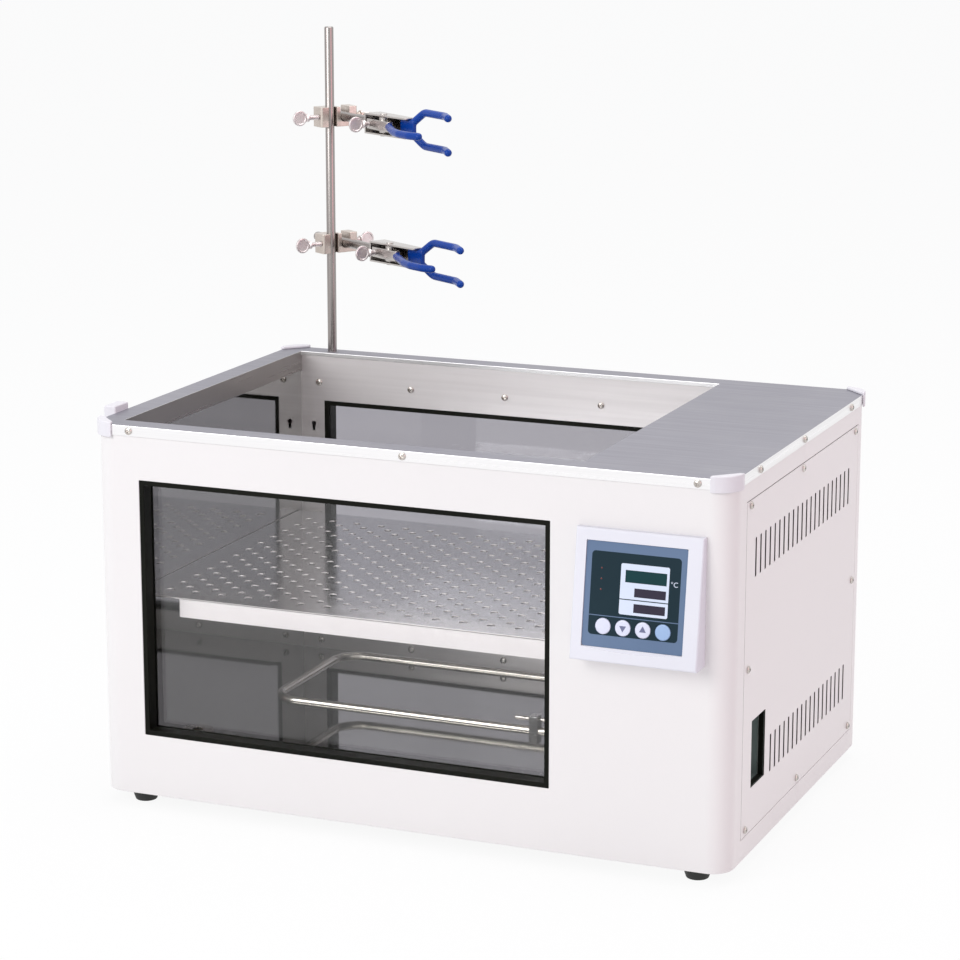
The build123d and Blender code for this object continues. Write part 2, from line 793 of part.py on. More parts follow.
# Immersion heater, its glands, and the temperature probe clipped above one leg
heater_z = bottom_z + heater_level
heater_x = left_x + heater_left + heater_radius
heater_end_x = tank_x1 + heater_tail
front_leg_y = front_y + heater_front_leg
rear_leg_y = rear_y - heater_rear_leg_from_rear
front_bend = []
rear_bend = []
for step in heater_bend_steps:
    bend_x = heater_x + heater_bend * (1 - sin(radians(step)))
    bend_in = heater_bend * (1 - cos(radians(step)))
    front_bend.append((bend_x, front_leg_y + bend_in, heater_z))
    rear_bend.insert(0, (bend_x, rear_leg_y - bend_in, heater_z))
with BuildPart() as heater:
    with BuildLine():
        Polyline(
            (heater_end_x, front_leg_y, heater_z),
            *front_bend,
            *rear_bend,
            (heater_end_x, rear_leg_y, heater_z),
        )
    with BuildSketch(Plane((heater_end_x, front_leg_y, heater_z), z_dir=(-1, 0, 0))):
        RegularPolygon(heater_radius, heater_sides)
    sweep(transition=Transition.RIGHT)
write(heater.part, "heater")

with BuildPart() as heater_glands:
    with BuildSketch(Plane.YZ.offset(tank_x1 + liner_sheet)):
        for leg_y in (front_leg_y, rear_leg_y):
            with Locations((leg_y, heater_z)):
                RegularPolygon(gland_radius, gland_sides)
                RegularPolygon(heater_radius + gland_fit, heater_sides, mode=Mode.SUBTRACT)
    extrude(amount=gland_height)
write(heater_glands.part, "heater_glands")

sensor_z = heater_z + sensor_lift
sensor_x = tank_x1 - sensor_reach
with BuildPart() as temperature_sensor:
    with BuildSketch(Plane.YZ.offset(sensor_x)):
        with Locations((front_leg_y, sensor_z)):
            RegularPolygon(sensor_radius, sensor_sides)
    extrude(amount=heater_end_x - sensor_x)
write(temperature_sensor.part, "temperature_sensor")

with BuildPart() as sensor_clip:
    with BuildSketch(Plane.YZ.offset(sensor_x + clip_from_tip)):
        clip_top = sensor_z + sensor_radius + clip_wall
        clip_low = heater_z - clip_drop
        with Locations((front_leg_y, (clip_top + clip_low) / 2)):
            Rectangle(2 * (heater_radius + clip_wall), clip_top - clip_low)
        with Locations((front_leg_y, heater_z)):
            RegularPolygon(heater_radius + gland_fit, heater_sides, mode=Mode.SUBTRACT)
        with Locations((front_leg_y, sensor_z)):
            RegularPolygon(sensor_radius + gland_fit, sensor_sides, mode=Mode.SUBTRACT)
    extrude(amount=clip_width)
write(sensor_clip.part, "sensor_clip")

# Control panel: a moulded housing with a sloping face
bezel_x = left_x + bezel_left
bezel_z = bottom_z + bezel_bottom
face_middle = (
    bezel_x + bezel_width / 2,
    front_y - (bezel_bottom_depth + bezel_top_depth) / 2,
    bezel_z + bezel_height / 2,
)
face = Plane(face_middle, x_dir=(1, 0, 0), z_dir=(0, -cos(bezel_tilt), sin(bezel_tilt)))


def bezel_profile(wall, front_wall):
    """Corners of the housing's side, drawn inwards by its walls; the back stays open."""
    low_depth = bezel_bottom_depth - wall * bezel_slope - front_wall / cos(bezel_tilt)
    high_depth = bezel_top_depth + wall * bezel_slope - front_wall / cos(bezel_tilt)
    return (
        (front_y, bezel_z + wall),
        (front_y - low_depth, bezel_z + wall),
        (front_y - high_depth, bezel_z + bezel_height - wall),
        (front_y, bezel_z + bezel_height - wall),
    )


with BuildPart() as control_bezel:
    with BuildSketch(Plane.YZ.offset(bezel_x)):
        Polygon(*bezel_profile(0, 0), align=None)
    extrude(amount=bezel_width)
    fillet(control_bezel.faces().sort_by(Axis.Y)[0].edges(), bezel_edge)
    with BuildSketch(Plane.YZ.offset(bezel_x + bezel_wall)):
        Polygon(*bezel_profile(bezel_wall, bezel_face), align=None)
    extrude(amount=bezel_width - 2 * bezel_wall, mode=Mode.SUBTRACT)
    with BuildSketch(face):
        with Locations((recess_shift, recess_lift)):
            Rectangle(recess_width, recess_height)
    extrude(amount=-recess_depth, mode=Mode.SUBTRACT)
    with BuildSketch(face):
        with Locations((recess_shift, recess_lift)):
            Rectangle(recess_width - 2 * bezel_ledge, recess_height - 2 * bezel_ledge)
    extrude(amount=-2 * bezel_face, mode=Mode.SUBTRACT)
    with BuildSketch(face):
        with BuildLine():
            scoop_top = recess_lift - recess_height / 2
            scoop_left = (recess_shift - recess_width / 2, scoop_top)
            scoop_right = (recess_shift + recess_width / 2, scoop_top)
            ThreePointArc(scoop_left, (recess_shift, scoop_top - lip_scoop), scoop_right)
            Line(scoop_right, scoop_left)
        make_face()
    extrude(amount=-lip_scoop_depth, mode=Mode.SUBTRACT)
    with BuildSketch(face.offset(-bezel_face)):
        with Locations((recess_shift, recess_lift)):
            with GridLocations(board_width - 2 * post_inset, board_height - 2 * post_inset, 2, 2):
                RegularPolygon(post_radius, post_sides)
    extrude(amount=-(board_gap + recess_depth - bezel_face))
write(control_bezel.part, "control_bezel")

display_sizes = (main_display, small_display, small_display)
display_middles = (main_display_middle, set_display_middle, limit_display_middle)


def display_rectangles(mode=Mode.ADD):
    """The three display openings, in the plane of the face."""
    for size, middle in zip(display_sizes, display_middles):
        with Locations((recess_shift + middle[0], recess_lift + middle[1])):
            Rectangle(size[0], size[1], mode=mode)


with BuildPart() as control_panel:
    with BuildSketch(face.offset(-recess_depth)):
        with Locations((recess_shift, recess_lift)):
            Rectangle(recess_width - 2 * panel_fit, recess_height - 2 * panel_fit)
        display_rectangles(Mode.SUBTRACT)
        with Locations((recess_shift, recess_lift - button_drop)):
            with GridLocations(button_pitch, 0, button_count, 1):
                RegularPolygon(button_radius + button_clearance, button_sides, mode=Mode.SUBTRACT)
    extrude(amount=panel_thickness)
write(control_panel.part, "control_panel")

with BuildPart() as display_windows:
    with BuildSketch(face.offset(-recess_depth)):
        display_rectangles()
    extrude(amount=panel_thickness - display_inset)
write(display_windows.part, "display_windows")

for number in range(button_count):
    with BuildPart() as button:
        button_place = (
            recess_shift + (number - (button_count - 1) / 2) * button_pitch,
            recess_lift - button_drop,
        )
        with BuildSketch(face.offset(-recess_depth - button_flange_height)):
            with Locations(button_place):
                RegularPolygon(button_radius + button_flange, button_sides)
        extrude(amount=button_flange_height)
        with BuildSketch(face.offset(-recess_depth)):
            with Locations(button_place):
                RegularPolygon(button_radius, button_sides)
        extrude(amount=panel_thickness + button_proud)
    write(button.part, f"button_{number + 1}")

with BuildPart() as control_board:
    with BuildSketch(face.offset(-recess_depth - board_gap)):
        with Locations((recess_shift, recess_lift)):
            Rectangle(board_width, board_height)
    extrude(amount=-board_thickness)
write(control_board.part, "control_board")

# Breaker behind its opening in the side cover
breaker_face_x = right_x - breaker_recess
toggle_y = front_y + breaker_slot_front + toggle_from_edge
toggle_x = breaker_face_x - toggle_sink
toggle_pocket = toggle_hub_radius + toggle_gap
with BuildPart() as breaker_body:
    with BuildSketch(Plane.YZ.offset(breaker_face_x - breaker_depth)):
        with Locations((breaker_slot_y, breaker_slot_z)):
            Rectangle(breaker_slot_width + 2 * breaker_shroud, breaker_slot_height + 2 * breaker_shroud)
    extrude(amount=breaker_depth + breaker_recess - shell_sheet)
    with BuildSketch(Plane.YZ.offset(breaker_face_x)):
        with Locations((breaker_slot_y, breaker_slot_z)):
            Rectangle(breaker_slot_width, breaker_slot_height)
    extrude(amount=breaker_recess, mode=Mode.SUBTRACT)
    with Locations((breaker_face_x, toggle_y, breaker_slot_z)):
        Box(
            toggle_sink + toggle_pocket,
            toggle_width + 2 * toggle_gap,
            2 * toggle_pocket,
            align=(Align.MAX, Align.CENTER, Align.CENTER),
            mode=Mode.SUBTRACT,
        )
    with BuildSketch(Plane((toggle_x, toggle_y, breaker_slot_z), x_dir=(1, 0, 0), z_dir=(0, 1, 0))):
        RegularPolygon(toggle_pin_radius + toggle_pin_fit, toggle_pin_sides, major_radius=False)
    extrude(amount=toggle_width / 2 + toggle_pin_length + toggle_gap, both=True, mode=Mode.SUBTRACT)
write(breaker_body.part, "breaker_body")

toggle_tilt_plane = Plane(
    (toggle_x, toggle_y, breaker_slot_z),
    x_dir=(cos(radians(toggle_tilt)), 0, sin(radians(toggle_tilt))),
    z_dir=(0, -1, 0),
)
with BuildPart() as breaker_lever:
    with BuildSketch(toggle_tilt_plane):
        RegularPolygon(toggle_hub_radius, toggle_hub_sides)
        with Locations(((toggle_sink + toggle_reach) / 2, 0)):
            Rectangle(toggle_sink + toggle_reach, toggle_handle_height)
    extrude(amount=toggle_width / 2, both=True)
    with BuildSketch(toggle_tilt_plane):
        RegularPolygon(toggle_pin_radius, toggle_pin_sides)
    extrude(amount=toggle_width / 2 + toggle_pin_length, both=True)
write(breaker_lever.part, "breaker_lever")

# Terminal block and relay with its heat sink, on the base plate
inside_z = bottom_z + shell_sheet
with BuildPart() as terminal_block:
    with Locations((right_x - block_from_right, front_y + block_from_front, inside_z)):
        Box(block_width, block_length, block_height, align=(Align.CENTER, Align.CENTER, Align.MIN))
    with Locations((right_x - block_from_right, front_y + block_from_front, inside_z + block_height)):
        with GridLocations(0, block_length / block_ways, 1, block_ways):
            Box(
                block_width / 2,
                block_slot,
                block_slot_depth,
                align=(Align.MIN, Align.CENTER, Align.MAX),
                mode=Mode.SUBTRACT,
            )
write(terminal_block.part, "terminal_block")

with BuildPart() as relay:
    with Locations((right_x - relay_from_right, rear_y - relay_from_rear, inside_z)):
        Box(relay_width, relay_depth, relay_height, align=(Align.CENTER, Align.CENTER, Align.MIN))
    with Locations((right_x - relay_from_right, rear_y - relay_from_rear, inside_z + relay_height)):
        with GridLocations((relay_width - fin_thickness) / (fin_count - 1), 0, fin_count, 1):
            Box(fin_thickness, relay_depth, fin_height, align=(Align.CENTER, Align.CENTER, Align.MIN))
write(relay.part, "relay")

# Drain: a flanged fitting in the tank's floor, a bent pipe to the back and a screw cap
drain_x = left_x + drain_from_left
drain_y = front_y + drain_from_front
drain_z = bottom_z + drain_level
drain_joint_z = drain_z + drain_bend + drain_stub
drain_end_y = rear_y + outlet_reach
with BuildPart() as drain_fitting:
    with BuildSketch(Plane.XY.offset(tank_z0)):
        with Locations((drain_x, drain_y)):
            RegularPolygon(drain_flange_radius, drain_sides)
    extrude(amount=drain_flange_height)
    with BuildSketch(Plane.XY.offset(drain_joint_z)):
        with Locations((drain_x, drain_y)):
            RegularPolygon(drain_radius, drain_sides)
    extrude(amount=tank_z0 - drain_joint_z)
    with BuildSketch(Plane.XY.offset(drain_joint_z)):
        with Locations((drain_x, drain_y)):
            RegularPolygon(drain_bore, drain_sides)
    extrude(amount=tank_z0 - drain_joint_z + drain_flange_height, mode=Mode.SUBTRACT)
write(drain_fitting.part, "drain_fitting")

with BuildPart() as drain_pipe:
    with BuildLine():
        Polyline(
            (drain_x, drain_y, drain_joint_z),
            (drain_x, drain_y, drain_z + drain_bend),
            (drain_x, drain_y + drain_bend, drain_z),
            (drain_x, drain_end_y, drain_z),
        )
    with BuildSketch(Plane((drain_x, drain_y, drain_joint_z), x_dir=(1, 0, 0), z_dir=(0, 0, -1))):
        RegularPolygon(drain_radius, drain_sides)
        RegularPolygon(drain_bore, drain_sides, mode=Mode.SUBTRACT)
    sweep(transition=Transition.RIGHT)
write(drain_pipe.part, "drain_pipe")

with BuildPart() as drain_cap:
    with BuildSketch(Plane((drain_x, drain_end_y - drain_cap_grip, drain_z), x_dir=(1, 0, 0), z_dir=(0, 1, 0))):
        RegularPolygon(drain_cap_radius, drain_cap_sides)
    extrude(amount=drain_cap_grip + tip_gap + drain_cap_end)
    with BuildSketch(Plane((drain_x, drain_end_y - drain_cap_grip, drain_z), x_dir=(1, 0, 0), z_dir=(0, 1, 0))):
        RegularPolygon(drain_radius + thread_clearance, drain_cap_bore_sides, major_radius=False)
    extrude(amount=drain_cap_grip + tip_gap, mode=Mode.SUBTRACT)
write(drain_cap.part, "drain_cap")

cord_face = Plane((left_x + cord_from_left, rear_y, bottom_z + cord_level), x_dir=(1, 0, 0), z_dir=(0, 1, 0))
with BuildPart() as cord_gland:
    with BuildSketch(cord_face):
        RegularPolygon(cord_nut_radius, gland_sides)
    extrude(amount=cord_nut_height)
    with BuildSketch(cord_face.offset(cord_nut_height)):
        RegularPolygon(cord_dome_radius, cord_gland_sides)
    extrude(amount=cord_dome_height)
    with BuildSketch(cord_face):
        RegularPolygon(cord_gland_radius, cord_gland_sides)
    extrude(amount=-cord_shank)
    with BuildSketch(cord_face.offset(-cord_shank)):
        RegularPolygon(cord_bore, cord_gland_sides)
    extrude(amount=cord_shank + cord_nut_height + cord_dome_height, mode=Mode.SUBTRACT)
write(cord_gland.part, "cord_gland")

# Stand rod in its socket under the rear of the rim
socket_top_z = rim_z - frame_sheet
with BuildPart() as rod_socket:
    with BuildSketch(Plane.XY.offset(socket_top_z)):
        with Locations((rod_x, rod_y)):
            RegularPolygon(socket_radius, socket_sides)
    extrude(amount=-(socket_depth + socket_floor))
    with BuildSketch(Plane.XY.offset(socket_top_z)):
        with Locations((rod_x, rod_y)):
            RegularPolygon(rod_radius + rod_running_fit, socket_sides, major_radius=False)
    extrude(amount=-socket_depth, mode=Mode.SUBTRACT)
write(rod_socket.part, "rod_socket")

with BuildPart() as stand_rod:
    with Locations((rod_x, rod_y, socket_top_z - socket_depth)):
        Cylinder(
            rod_radius,
            socket_depth + frame_sheet + rod_above_rim,
            align=(Align.CENTER, Align.CENTER, Align.MIN),
        )
    chamfer(stand_rod.faces().sort_by(Axis.Z)[-1].edges(), rod_chamfer)
write(stand_rod.part, "stand_rod")


# Clamps
def winged_screw(shank):
    """Screw with an oval wing, tip at the origin and wing along +Z."""
    with BuildPart() as screw:
        with BuildSketch(Plane.XY):
            RegularPolygon(screw_radius, screw_sides)
        extrude(amount=shank)
        with BuildSketch(Plane.XY.offset(shank)):
            RegularPolygon(collar_radius, screw_sides)
        extrude(amount=collar_height)
        with BuildSketch(Plane.XZ):
            with Locations((0, shank + collar_height + wing_radius - wing_sink)):
                RegularPolygon(wing_radius, wing_sides)
        extrude(amount=wing_thickness / 2, both=True)
    return screw.part


def screw_hole():
    """Outline of a hole in which a winged screw runs."""
    RegularPolygon(screw_radius + screw_fit, screw_sides, major_radius=False)


boss_front_y = -rod_radius - boss_front_wall
boss_rear_y = clamp_rod_offset + clamp_rod_radius + boss_rear_wall
boss_middle_x = (boss_open - boss_back) / 2
boss_length = boss_open + boss_back
upright_throat = rod_radius + slide_clearance
cross_throat = clamp_rod_radius + slide_clearance
upright_screw_mouth = Plane((0, boss_front_y, 0), x_dir=(1, 0, 0), z_dir=(0, -1, 0))
cross_screw_mouth = Plane((boss_middle_x, boss_rear_y, 0), x_dir=(1, 0, 0), z_dir=(0, 1, 0))

with BuildPart() as boss:
    with Locations((boss_middle_x, (boss_front_y + boss_rear_y) / 2, 0)):
        Box(boss_length, boss_rear_y - boss_front_y, boss_height)
    chamfer(boss.edges().filter_by(Axis.Z), boss_chamfer)
    with BuildSketch(Plane.XY.offset(-boss_height / 2)):
        RegularPolygon(upright_throat, throat_sides, major_radius=False)
        with Locations((boss_open / 2, 0)):
            Rectangle(boss_open, 2 * upright_throat)
    extrude(amount=boss_height, mode=Mode.SUBTRACT)
    with BuildSketch(Plane.YZ.offset(-boss_back)):
        with Locations((clamp_rod_offset, 0)):
            RegularPolygon(cross_throat, throat_sides, major_radius=False)
        with Locations((clamp_rod_offset, boss_height / 4)):
            Rectangle(2 * cross_throat, boss_height / 2)
    extrude(amount=boss_length, mode=Mode.SUBTRACT)
    with BuildSketch(upright_screw_mouth):
        screw_hole()
    extrude(amount=-boss_front_wall, mode=Mode.SUBTRACT)
    with BuildSketch(cross_screw_mouth):
        screw_hole()
    extrude(amount=-boss_rear_wall, mode=Mode.SUBTRACT)

upright_screw_tip = Plane((0, -rod_radius - tip_gap, 0), x_dir=(1, 0, 0), z_dir=(0, -1, 0))
cross_screw_tip = Plane(
    (boss_middle_x, clamp_rod_offset + clamp_rod_radius + tip_gap, 0), x_dir=(1, 0, 0), z_dir=(0, 1, 0)
)

# From here on the clamp rod's axis is the origin, with x along the rod
spigot_length = head_sheet + 2 * rivet_gap
with BuildPart() as clamp_rod:
    with BuildSketch(Plane.YZ.offset(-clamp_rod_tail)):
        RegularPolygon(clamp_rod_radius, clamp_rod_sides)
    extrude(amount=clamp_rod_tail + head_start - rivet_gap)
    with BuildSketch(Plane.YZ.offset(head_start - rivet_gap)):
        RegularPolygon(spigot_radius, screw_sides)
    extrude(amount=spigot_length)
    with BuildSketch(Plane.YZ.offset(head_start - rivet_gap + spigot_length)):
        RegularPolygon(rivet_radius, screw_sides)
    extrude(amount=rivet_height)

head_half = head_height / 2
pivot_x = head_start + pivot_along
nose_x = head_start + head_length


def channel_outline(inset):
    """Plan of the channel: open towards -y, narrower at the nose."""
    Polygon(
        (head_start + inset, head_web_side - inset),
        (nose_x, head_web_side - inset),
        (nose_x, -head_nose_side),
        (head_start + inset, -head_open_side),
        align=None,
    )


with BuildPart() as clamp_head:
    with BuildSketch(Plane.XY.offset(-head_half)):
        channel_outline(0)
    extrude(amount=head_height)
    with BuildSketch(Plane.XY.offset(-head_half + head_sheet)):
        channel_outline(head_sheet)
    extrude(amount=head_height - 2 * head_sheet, mode=Mode.SUBTRACT)
    with BuildSketch(Plane.YZ.offset(head_start)):
        RegularPolygon(spigot_radius + spigot_fit, screw_sides, major_radius=False)
    extrude(amount=head_sheet, mode=Mode.SUBTRACT)
    with BuildSketch(Plane.XY.offset(-head_half)):
        with Locations((pivot_x, -pivot_back)):
            RegularPolygon(pivot_radius, pivot_sides)
    extrude(amount=head_height)
    with BuildSketch(Plane.XY.offset(head_half), Plane.XY.offset(-head_half - pivot_head_height)):
        with Locations((pivot_x, -pivot_back)):
            RegularPolygon(pivot_head_radius, pivot_sides)
    extrude(amount=pivot_head_height)

strap_y = head_web_side - head_sheet - fork_strap / 2
with BuildPart() as fork:
    with Locations((head_start + fork_root, strap_y, 0)):
        Box(
            fork_neck - fork_root,
            fork_strap,
            2 * fork_strap_half,
            align=(Align.MIN, Align.CENTER, Align.CENTER),
        )
    for side in (-1, 1):
        with BuildLine() as prong_path:
            Polyline(
                (head_start + fork_split, strap_y, side * fork_split_half),
                (head_start + fork_corner, fork_side, side * fork_half),
                (head_start + fork_bend, fork_side, side * fork_half),
                (head_start + fork_tip, fork_tip_side, side * fork_half),
            )
        with BuildSketch(Plane(prong_path.line @ 0, z_dir=prong_path.line % 0)):
            RegularPolygon(prong_radius, prong_sides)
        sweep(path=prong_path.line, transition=Transition.RIGHT)

with BuildPart() as finger:
    root_x = head_start + finger_points[0][0]
    root_y = finger_points[0][1]
    lug_x = pivot_x - jaw_tail
    with BuildSketch(Plane.XY.offset(-jaw_half_height)):
        with BuildLine():
            Polyline(
                (lug_x - lug_length / 2, -lug_outer_side),
                (lug_x + lug_length / 2, -lug_outer_side),
                (root_x + finger_overlap, root_y - prong_radius),
                (root_x + finger_overlap, root_y + prong_radius),
                (pivot_x, jaw_hub_radius - pivot_back),
                (lug_x + lug_length / 2, -lug_inner_side),
                (lug_x - lug_length / 2, -lug_inner_side),
                close=True,
            )
        make_face()
    extrude(amount=2 * jaw_half_height)
    with BuildSketch(Plane.XY.offset(-head_half + head_sheet + jaw_side_gap)):
        with Locations((pivot_x, -pivot_back)):
            RegularPolygon(jaw_hub_radius, pivot_sides)
    extrude(amount=head_height - 2 * head_sheet - 2 * jaw_side_gap)
    with BuildSketch(Plane.XY.offset(-head_half)):
        with Locations((pivot_x, -pivot_back)):
            RegularPolygon(pivot_radius + pivot_fit, pivot_sides, major_radius=False)
    extrude(amount=head_height, mode=Mode.SUBTRACT)
    with BuildSketch(Plane((lug_x, -lug_outer_side, 0), x_dir=(1, 0, 0), z_dir=(0, -1, 0))):
        screw_hole()
    extrude(amount=lug_inner_side - lug_outer_side, mode=Mode.SUBTRACT)
    with BuildLine() as finger_path:
        Polyline(*[(head_start + x, y) for x, y in finger_points])
    with BuildSketch(Plane(finger_path.line @ 0, z_dir=finger_path.line % 0)):
        RegularPolygon(prong_radius, prong_sides)
    sweep(path=finger_path.line, transition=Transition.RIGHT)

jaw_screw_tip = Plane(
    (lug_x, head_web_side - head_sheet - tip_gap, 0), x_dir=(1, 0, 0), z_dir=(0, -1, 0)
)

for name, level, swing in zip(clamp_names, clamp_levels, clamp_swings):
    along = (cos(radians(swing)), -sin(radians(swing)), 0)
    upright = Plane((rod_x, rod_y, rim_z + level), x_dir=along, z_dir=(0, 0, 1))
    cross = Plane(upright.from_local_coords((0, clamp_rod_offset, 0)), x_dir=along, z_dir=(0, 0, 1))
    write(boss.part.moved(upright.location), f"boss_{name}")
    write(
        winged_screw(upright_screw_length).moved(upright.location * upright_screw_tip.location),
        f"upright_screw_{name}",
    )
    write(
        winged_screw(cross_screw_length).moved(upright.location * cross_screw_tip.location),
        f"cross_screw_{name}",
    )
    write(clamp_rod.part.moved(cross.location), f"clamp_rod_{name}")
    write(clamp_head.part.moved(cross.location), f"clamp_head_{name}")
    write(fork.part.moved(cross.location), f"fork_{name}")
    write(finger.part.moved(cross.location), f"finger_{name}")
    write(
        winged_screw(jaw_screw_length).moved(cross.location * jaw_screw_tip.location),
        f"jaw_screw_{name}",
    )
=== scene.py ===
# %% [markdown]
# # A laboratory water bath, dressed for the photograph
# The instrument is a steel tank with a window in front and behind, a perforated shelf, a tube heater, a
# control panel and a stand rod with two clamps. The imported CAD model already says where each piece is. This
# lesson loads it as a fixed frame, then gives every piece the shape and the finish that the eye expects.

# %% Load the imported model
import math

import bmesh
import bpy
from mathutils import Matrix, Vector


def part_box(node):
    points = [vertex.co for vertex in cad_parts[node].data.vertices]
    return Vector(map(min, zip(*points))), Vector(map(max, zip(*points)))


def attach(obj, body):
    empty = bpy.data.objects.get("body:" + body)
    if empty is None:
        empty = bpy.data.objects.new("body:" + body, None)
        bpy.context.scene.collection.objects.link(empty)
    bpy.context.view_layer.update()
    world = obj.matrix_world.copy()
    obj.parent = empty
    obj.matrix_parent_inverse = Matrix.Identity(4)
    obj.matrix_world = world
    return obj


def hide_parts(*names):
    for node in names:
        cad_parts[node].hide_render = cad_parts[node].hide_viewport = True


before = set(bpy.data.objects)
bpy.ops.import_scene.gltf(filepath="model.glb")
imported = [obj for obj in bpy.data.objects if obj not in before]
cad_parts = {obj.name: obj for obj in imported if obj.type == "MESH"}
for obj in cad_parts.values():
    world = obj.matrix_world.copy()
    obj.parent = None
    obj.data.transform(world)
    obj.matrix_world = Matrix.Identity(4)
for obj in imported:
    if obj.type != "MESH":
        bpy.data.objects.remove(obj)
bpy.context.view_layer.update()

# %% [markdown]
# ## Places
# A modeller could copy numbers from the drawing, but then a change there would leave this scene behind. So
# the places are read from the boxes of the CAD nodes, in millimetres, and only what a box can't tell is
# written down.

# %% Read the places from the frame
MM = 0.001
MICRON = 0.000001


def span(node_name):
    """Lowest and highest corner of a CAD node, in millimetres."""
    low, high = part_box(node_name)
    return Vector(low) / MM, Vector(high) / MM


def middle(low, high):
    """The point halfway between two corners, as three numbers."""
    return [(a + b) / 2 for a, b in zip(low, high)]


FRONT_Y = span("front_shell")[0].y
REAR_Y = span("rear_shell")[1].y
RIGHT_X = span("front_shell")[1].x
RIM_Z = span("top_frame")[1].z
ROD_X, ROD_Y, _ = middle(*span("stand_rod"))
print("rim height", round(RIM_Z, 1), "front", round(FRONT_Y, 1), "rod at", round(ROD_X, 1), round(ROD_Y, 1))

# %% [markdown]
# ## Camera
# The photograph was taken from the right of the front with a long lens. The place, the turn and the focal
# length were solved from edges of the body, so the camera is set by numbers and nothing needs framing by eye.

# %% Set the camera
CAMERA_PLACE, CAMERA_DIP, CAMERA_TURN, LENS = (1.0405, -2.5164, 0.9150), 0.228, 0.3948, 113.45


def new_object(name, data):
    """An object that is linked into the scene."""
    made = bpy.data.objects.new(name, data)
    bpy.context.scene.collection.objects.link(made)
    return made


camera_data = bpy.data.cameras.new("product_camera")
camera_data.sensor_width = 36.0
camera_data.lens = LENS
camera_data.clip_end = 60.0
camera = new_object("product_camera", camera_data)
camera.location = CAMERA_PLACE
camera.rotation_euler = (math.pi / 2 - CAMERA_DIP, 0.0, CAMERA_TURN)
bpy.context.scene.camera = camera
bpy.context.scene.view_settings.view_transform = "Standard"
print("lens", camera_data.lens, "mm")

# %% [markdown]
# ## Floor and light
# The picture has a white ground with no horizon. A huge pale floor gives that, and its material looks white
# to the camera while it still takes the soft shadow of the bath. The world is white where the camera, glass
# or metal sees it, and weaker as a lamp, so that pale enamel doesn't clip. Wide lamps give the soft fall from
# front to side.

# %% Helpers for node trees
def feed(tree, inputs, values):
    """Give inputs their values: a link where the value is a socket, or else a constant."""
    for label, value in values.items():
        if isinstance(value, bpy.types.NodeSocket):
            tree.links.new(value, inputs[label])
        elif inputs[label].type == "RGBA":
            inputs[label].default_value = (*value, 1.0)
        else:
            inputs[label].default_value = value


def node(tree, kind, values=None, **properties):
    """Add a node, set its properties and feed its inputs."""
    made = tree.nodes.new(kind)
    for name, value in properties.items():
        setattr(made, name, value)
    feed(tree, made.inputs, values or {})
    return made


def calc(tree, operation, first, second):
    """One sum with two values or masks."""
    return node(tree, "ShaderNodeMath", {0: first, 1: second}, operation=operation).outputs[0]


def seen_white(tree):
    """A mask that is 1 for rays from the camera, from gloss and through glass."""
    rays = node(tree, "ShaderNodeLightPath").outputs
    either = calc(tree, "MAXIMUM", rays["Is Camera Ray"], rays["Is Glossy Ray"])
    return calc(tree, "MAXIMUM", either, rays["Is Transmission Ray"])


def blank_material(name):
    """A material with an empty node tree."""
    made = bpy.data.materials.new(name)
    made.use_nodes = True
    made.node_tree.nodes.clear()
    return made, made.node_tree


def shader_mix(tree, mask, low, high):
    """Mix the shaders of two nodes by a mask."""
    parts = {0: mask, 1: low.outputs[0], 2: high.outputs[0]}
    return node(tree, "ShaderNodeMixShader", parts).outputs[0]


def mesh_of(bm, name):
    """Turn a bmesh into a mesh, and free it."""
    mesh = bpy.data.meshes.new(name)
    bm.to_mesh(mesh)
    bm.free()
    return mesh


# %% World and floor
WHITE, SOFT_SKY, FLOOR_GREY = (1.0, 1.0, 1.0), (0.93, 0.95, 1.0), (0.86, 0.86, 0.86)
SKY_STRENGTH, FLOOR_WHITENESS, FLOOR_HALF, FLOOR_DROP = 0.62, 0.92, 30.0, 0.0002

world = bpy.data.worlds.new("studio")
world.use_nodes = True
bpy.context.scene.world = world
sky = world.node_tree
sky.nodes.clear()
soft_sky = node(sky, "ShaderNodeBackground", {"Color": SOFT_SKY, "Strength": SKY_STRENGTH})
white_sky = node(sky, "ShaderNodeBackground", {"Color": WHITE, "Strength": 1.0})
node(sky, "ShaderNodeOutputWorld", {"Surface": shader_mix(sky, seen_white(sky), soft_sky, white_sky)})

ground = bmesh.new()
bmesh.ops.create_grid(ground, x_segments=2, y_segments=2, size=FLOOR_HALF)
bmesh.ops.translate(ground, vec=(0, 0, -FLOOR_DROP), verts=ground.verts)
floor = new_object("studio_floor", mesh_of(ground, "studio_floor"))
floor_paint, tree = blank_material("floor_paint")
matt = node(tree, "ShaderNodeBsdfDiffuse", {"Color": FLOOR_GREY})
glow = node(tree, "ShaderNodeEmission", {"Color": WHITE})
share = calc(tree, "MULTIPLY", seen_white(tree), FLOOR_WHITENESS)
node(tree, "ShaderNodeOutputMaterial", {"Surface": shader_mix(tree, share, matt, glow)})
floor.data.materials.append(floor_paint)

# %% Lamps
def soft_lamp(name, place, aim_at, size, power, colour):
    """A square softbox that looks at a point."""
    data = bpy.data.lights.new(name, "AREA")
    data.size = size
    data.energy = power
    data.color = colour
    lamp = new_object(name, data)
    lamp.location = place
    lamp.rotation_euler = (Vector(aim_at) - Vector(place)).to_track_quat("-Z", "Y").to_euler()
    return lamp


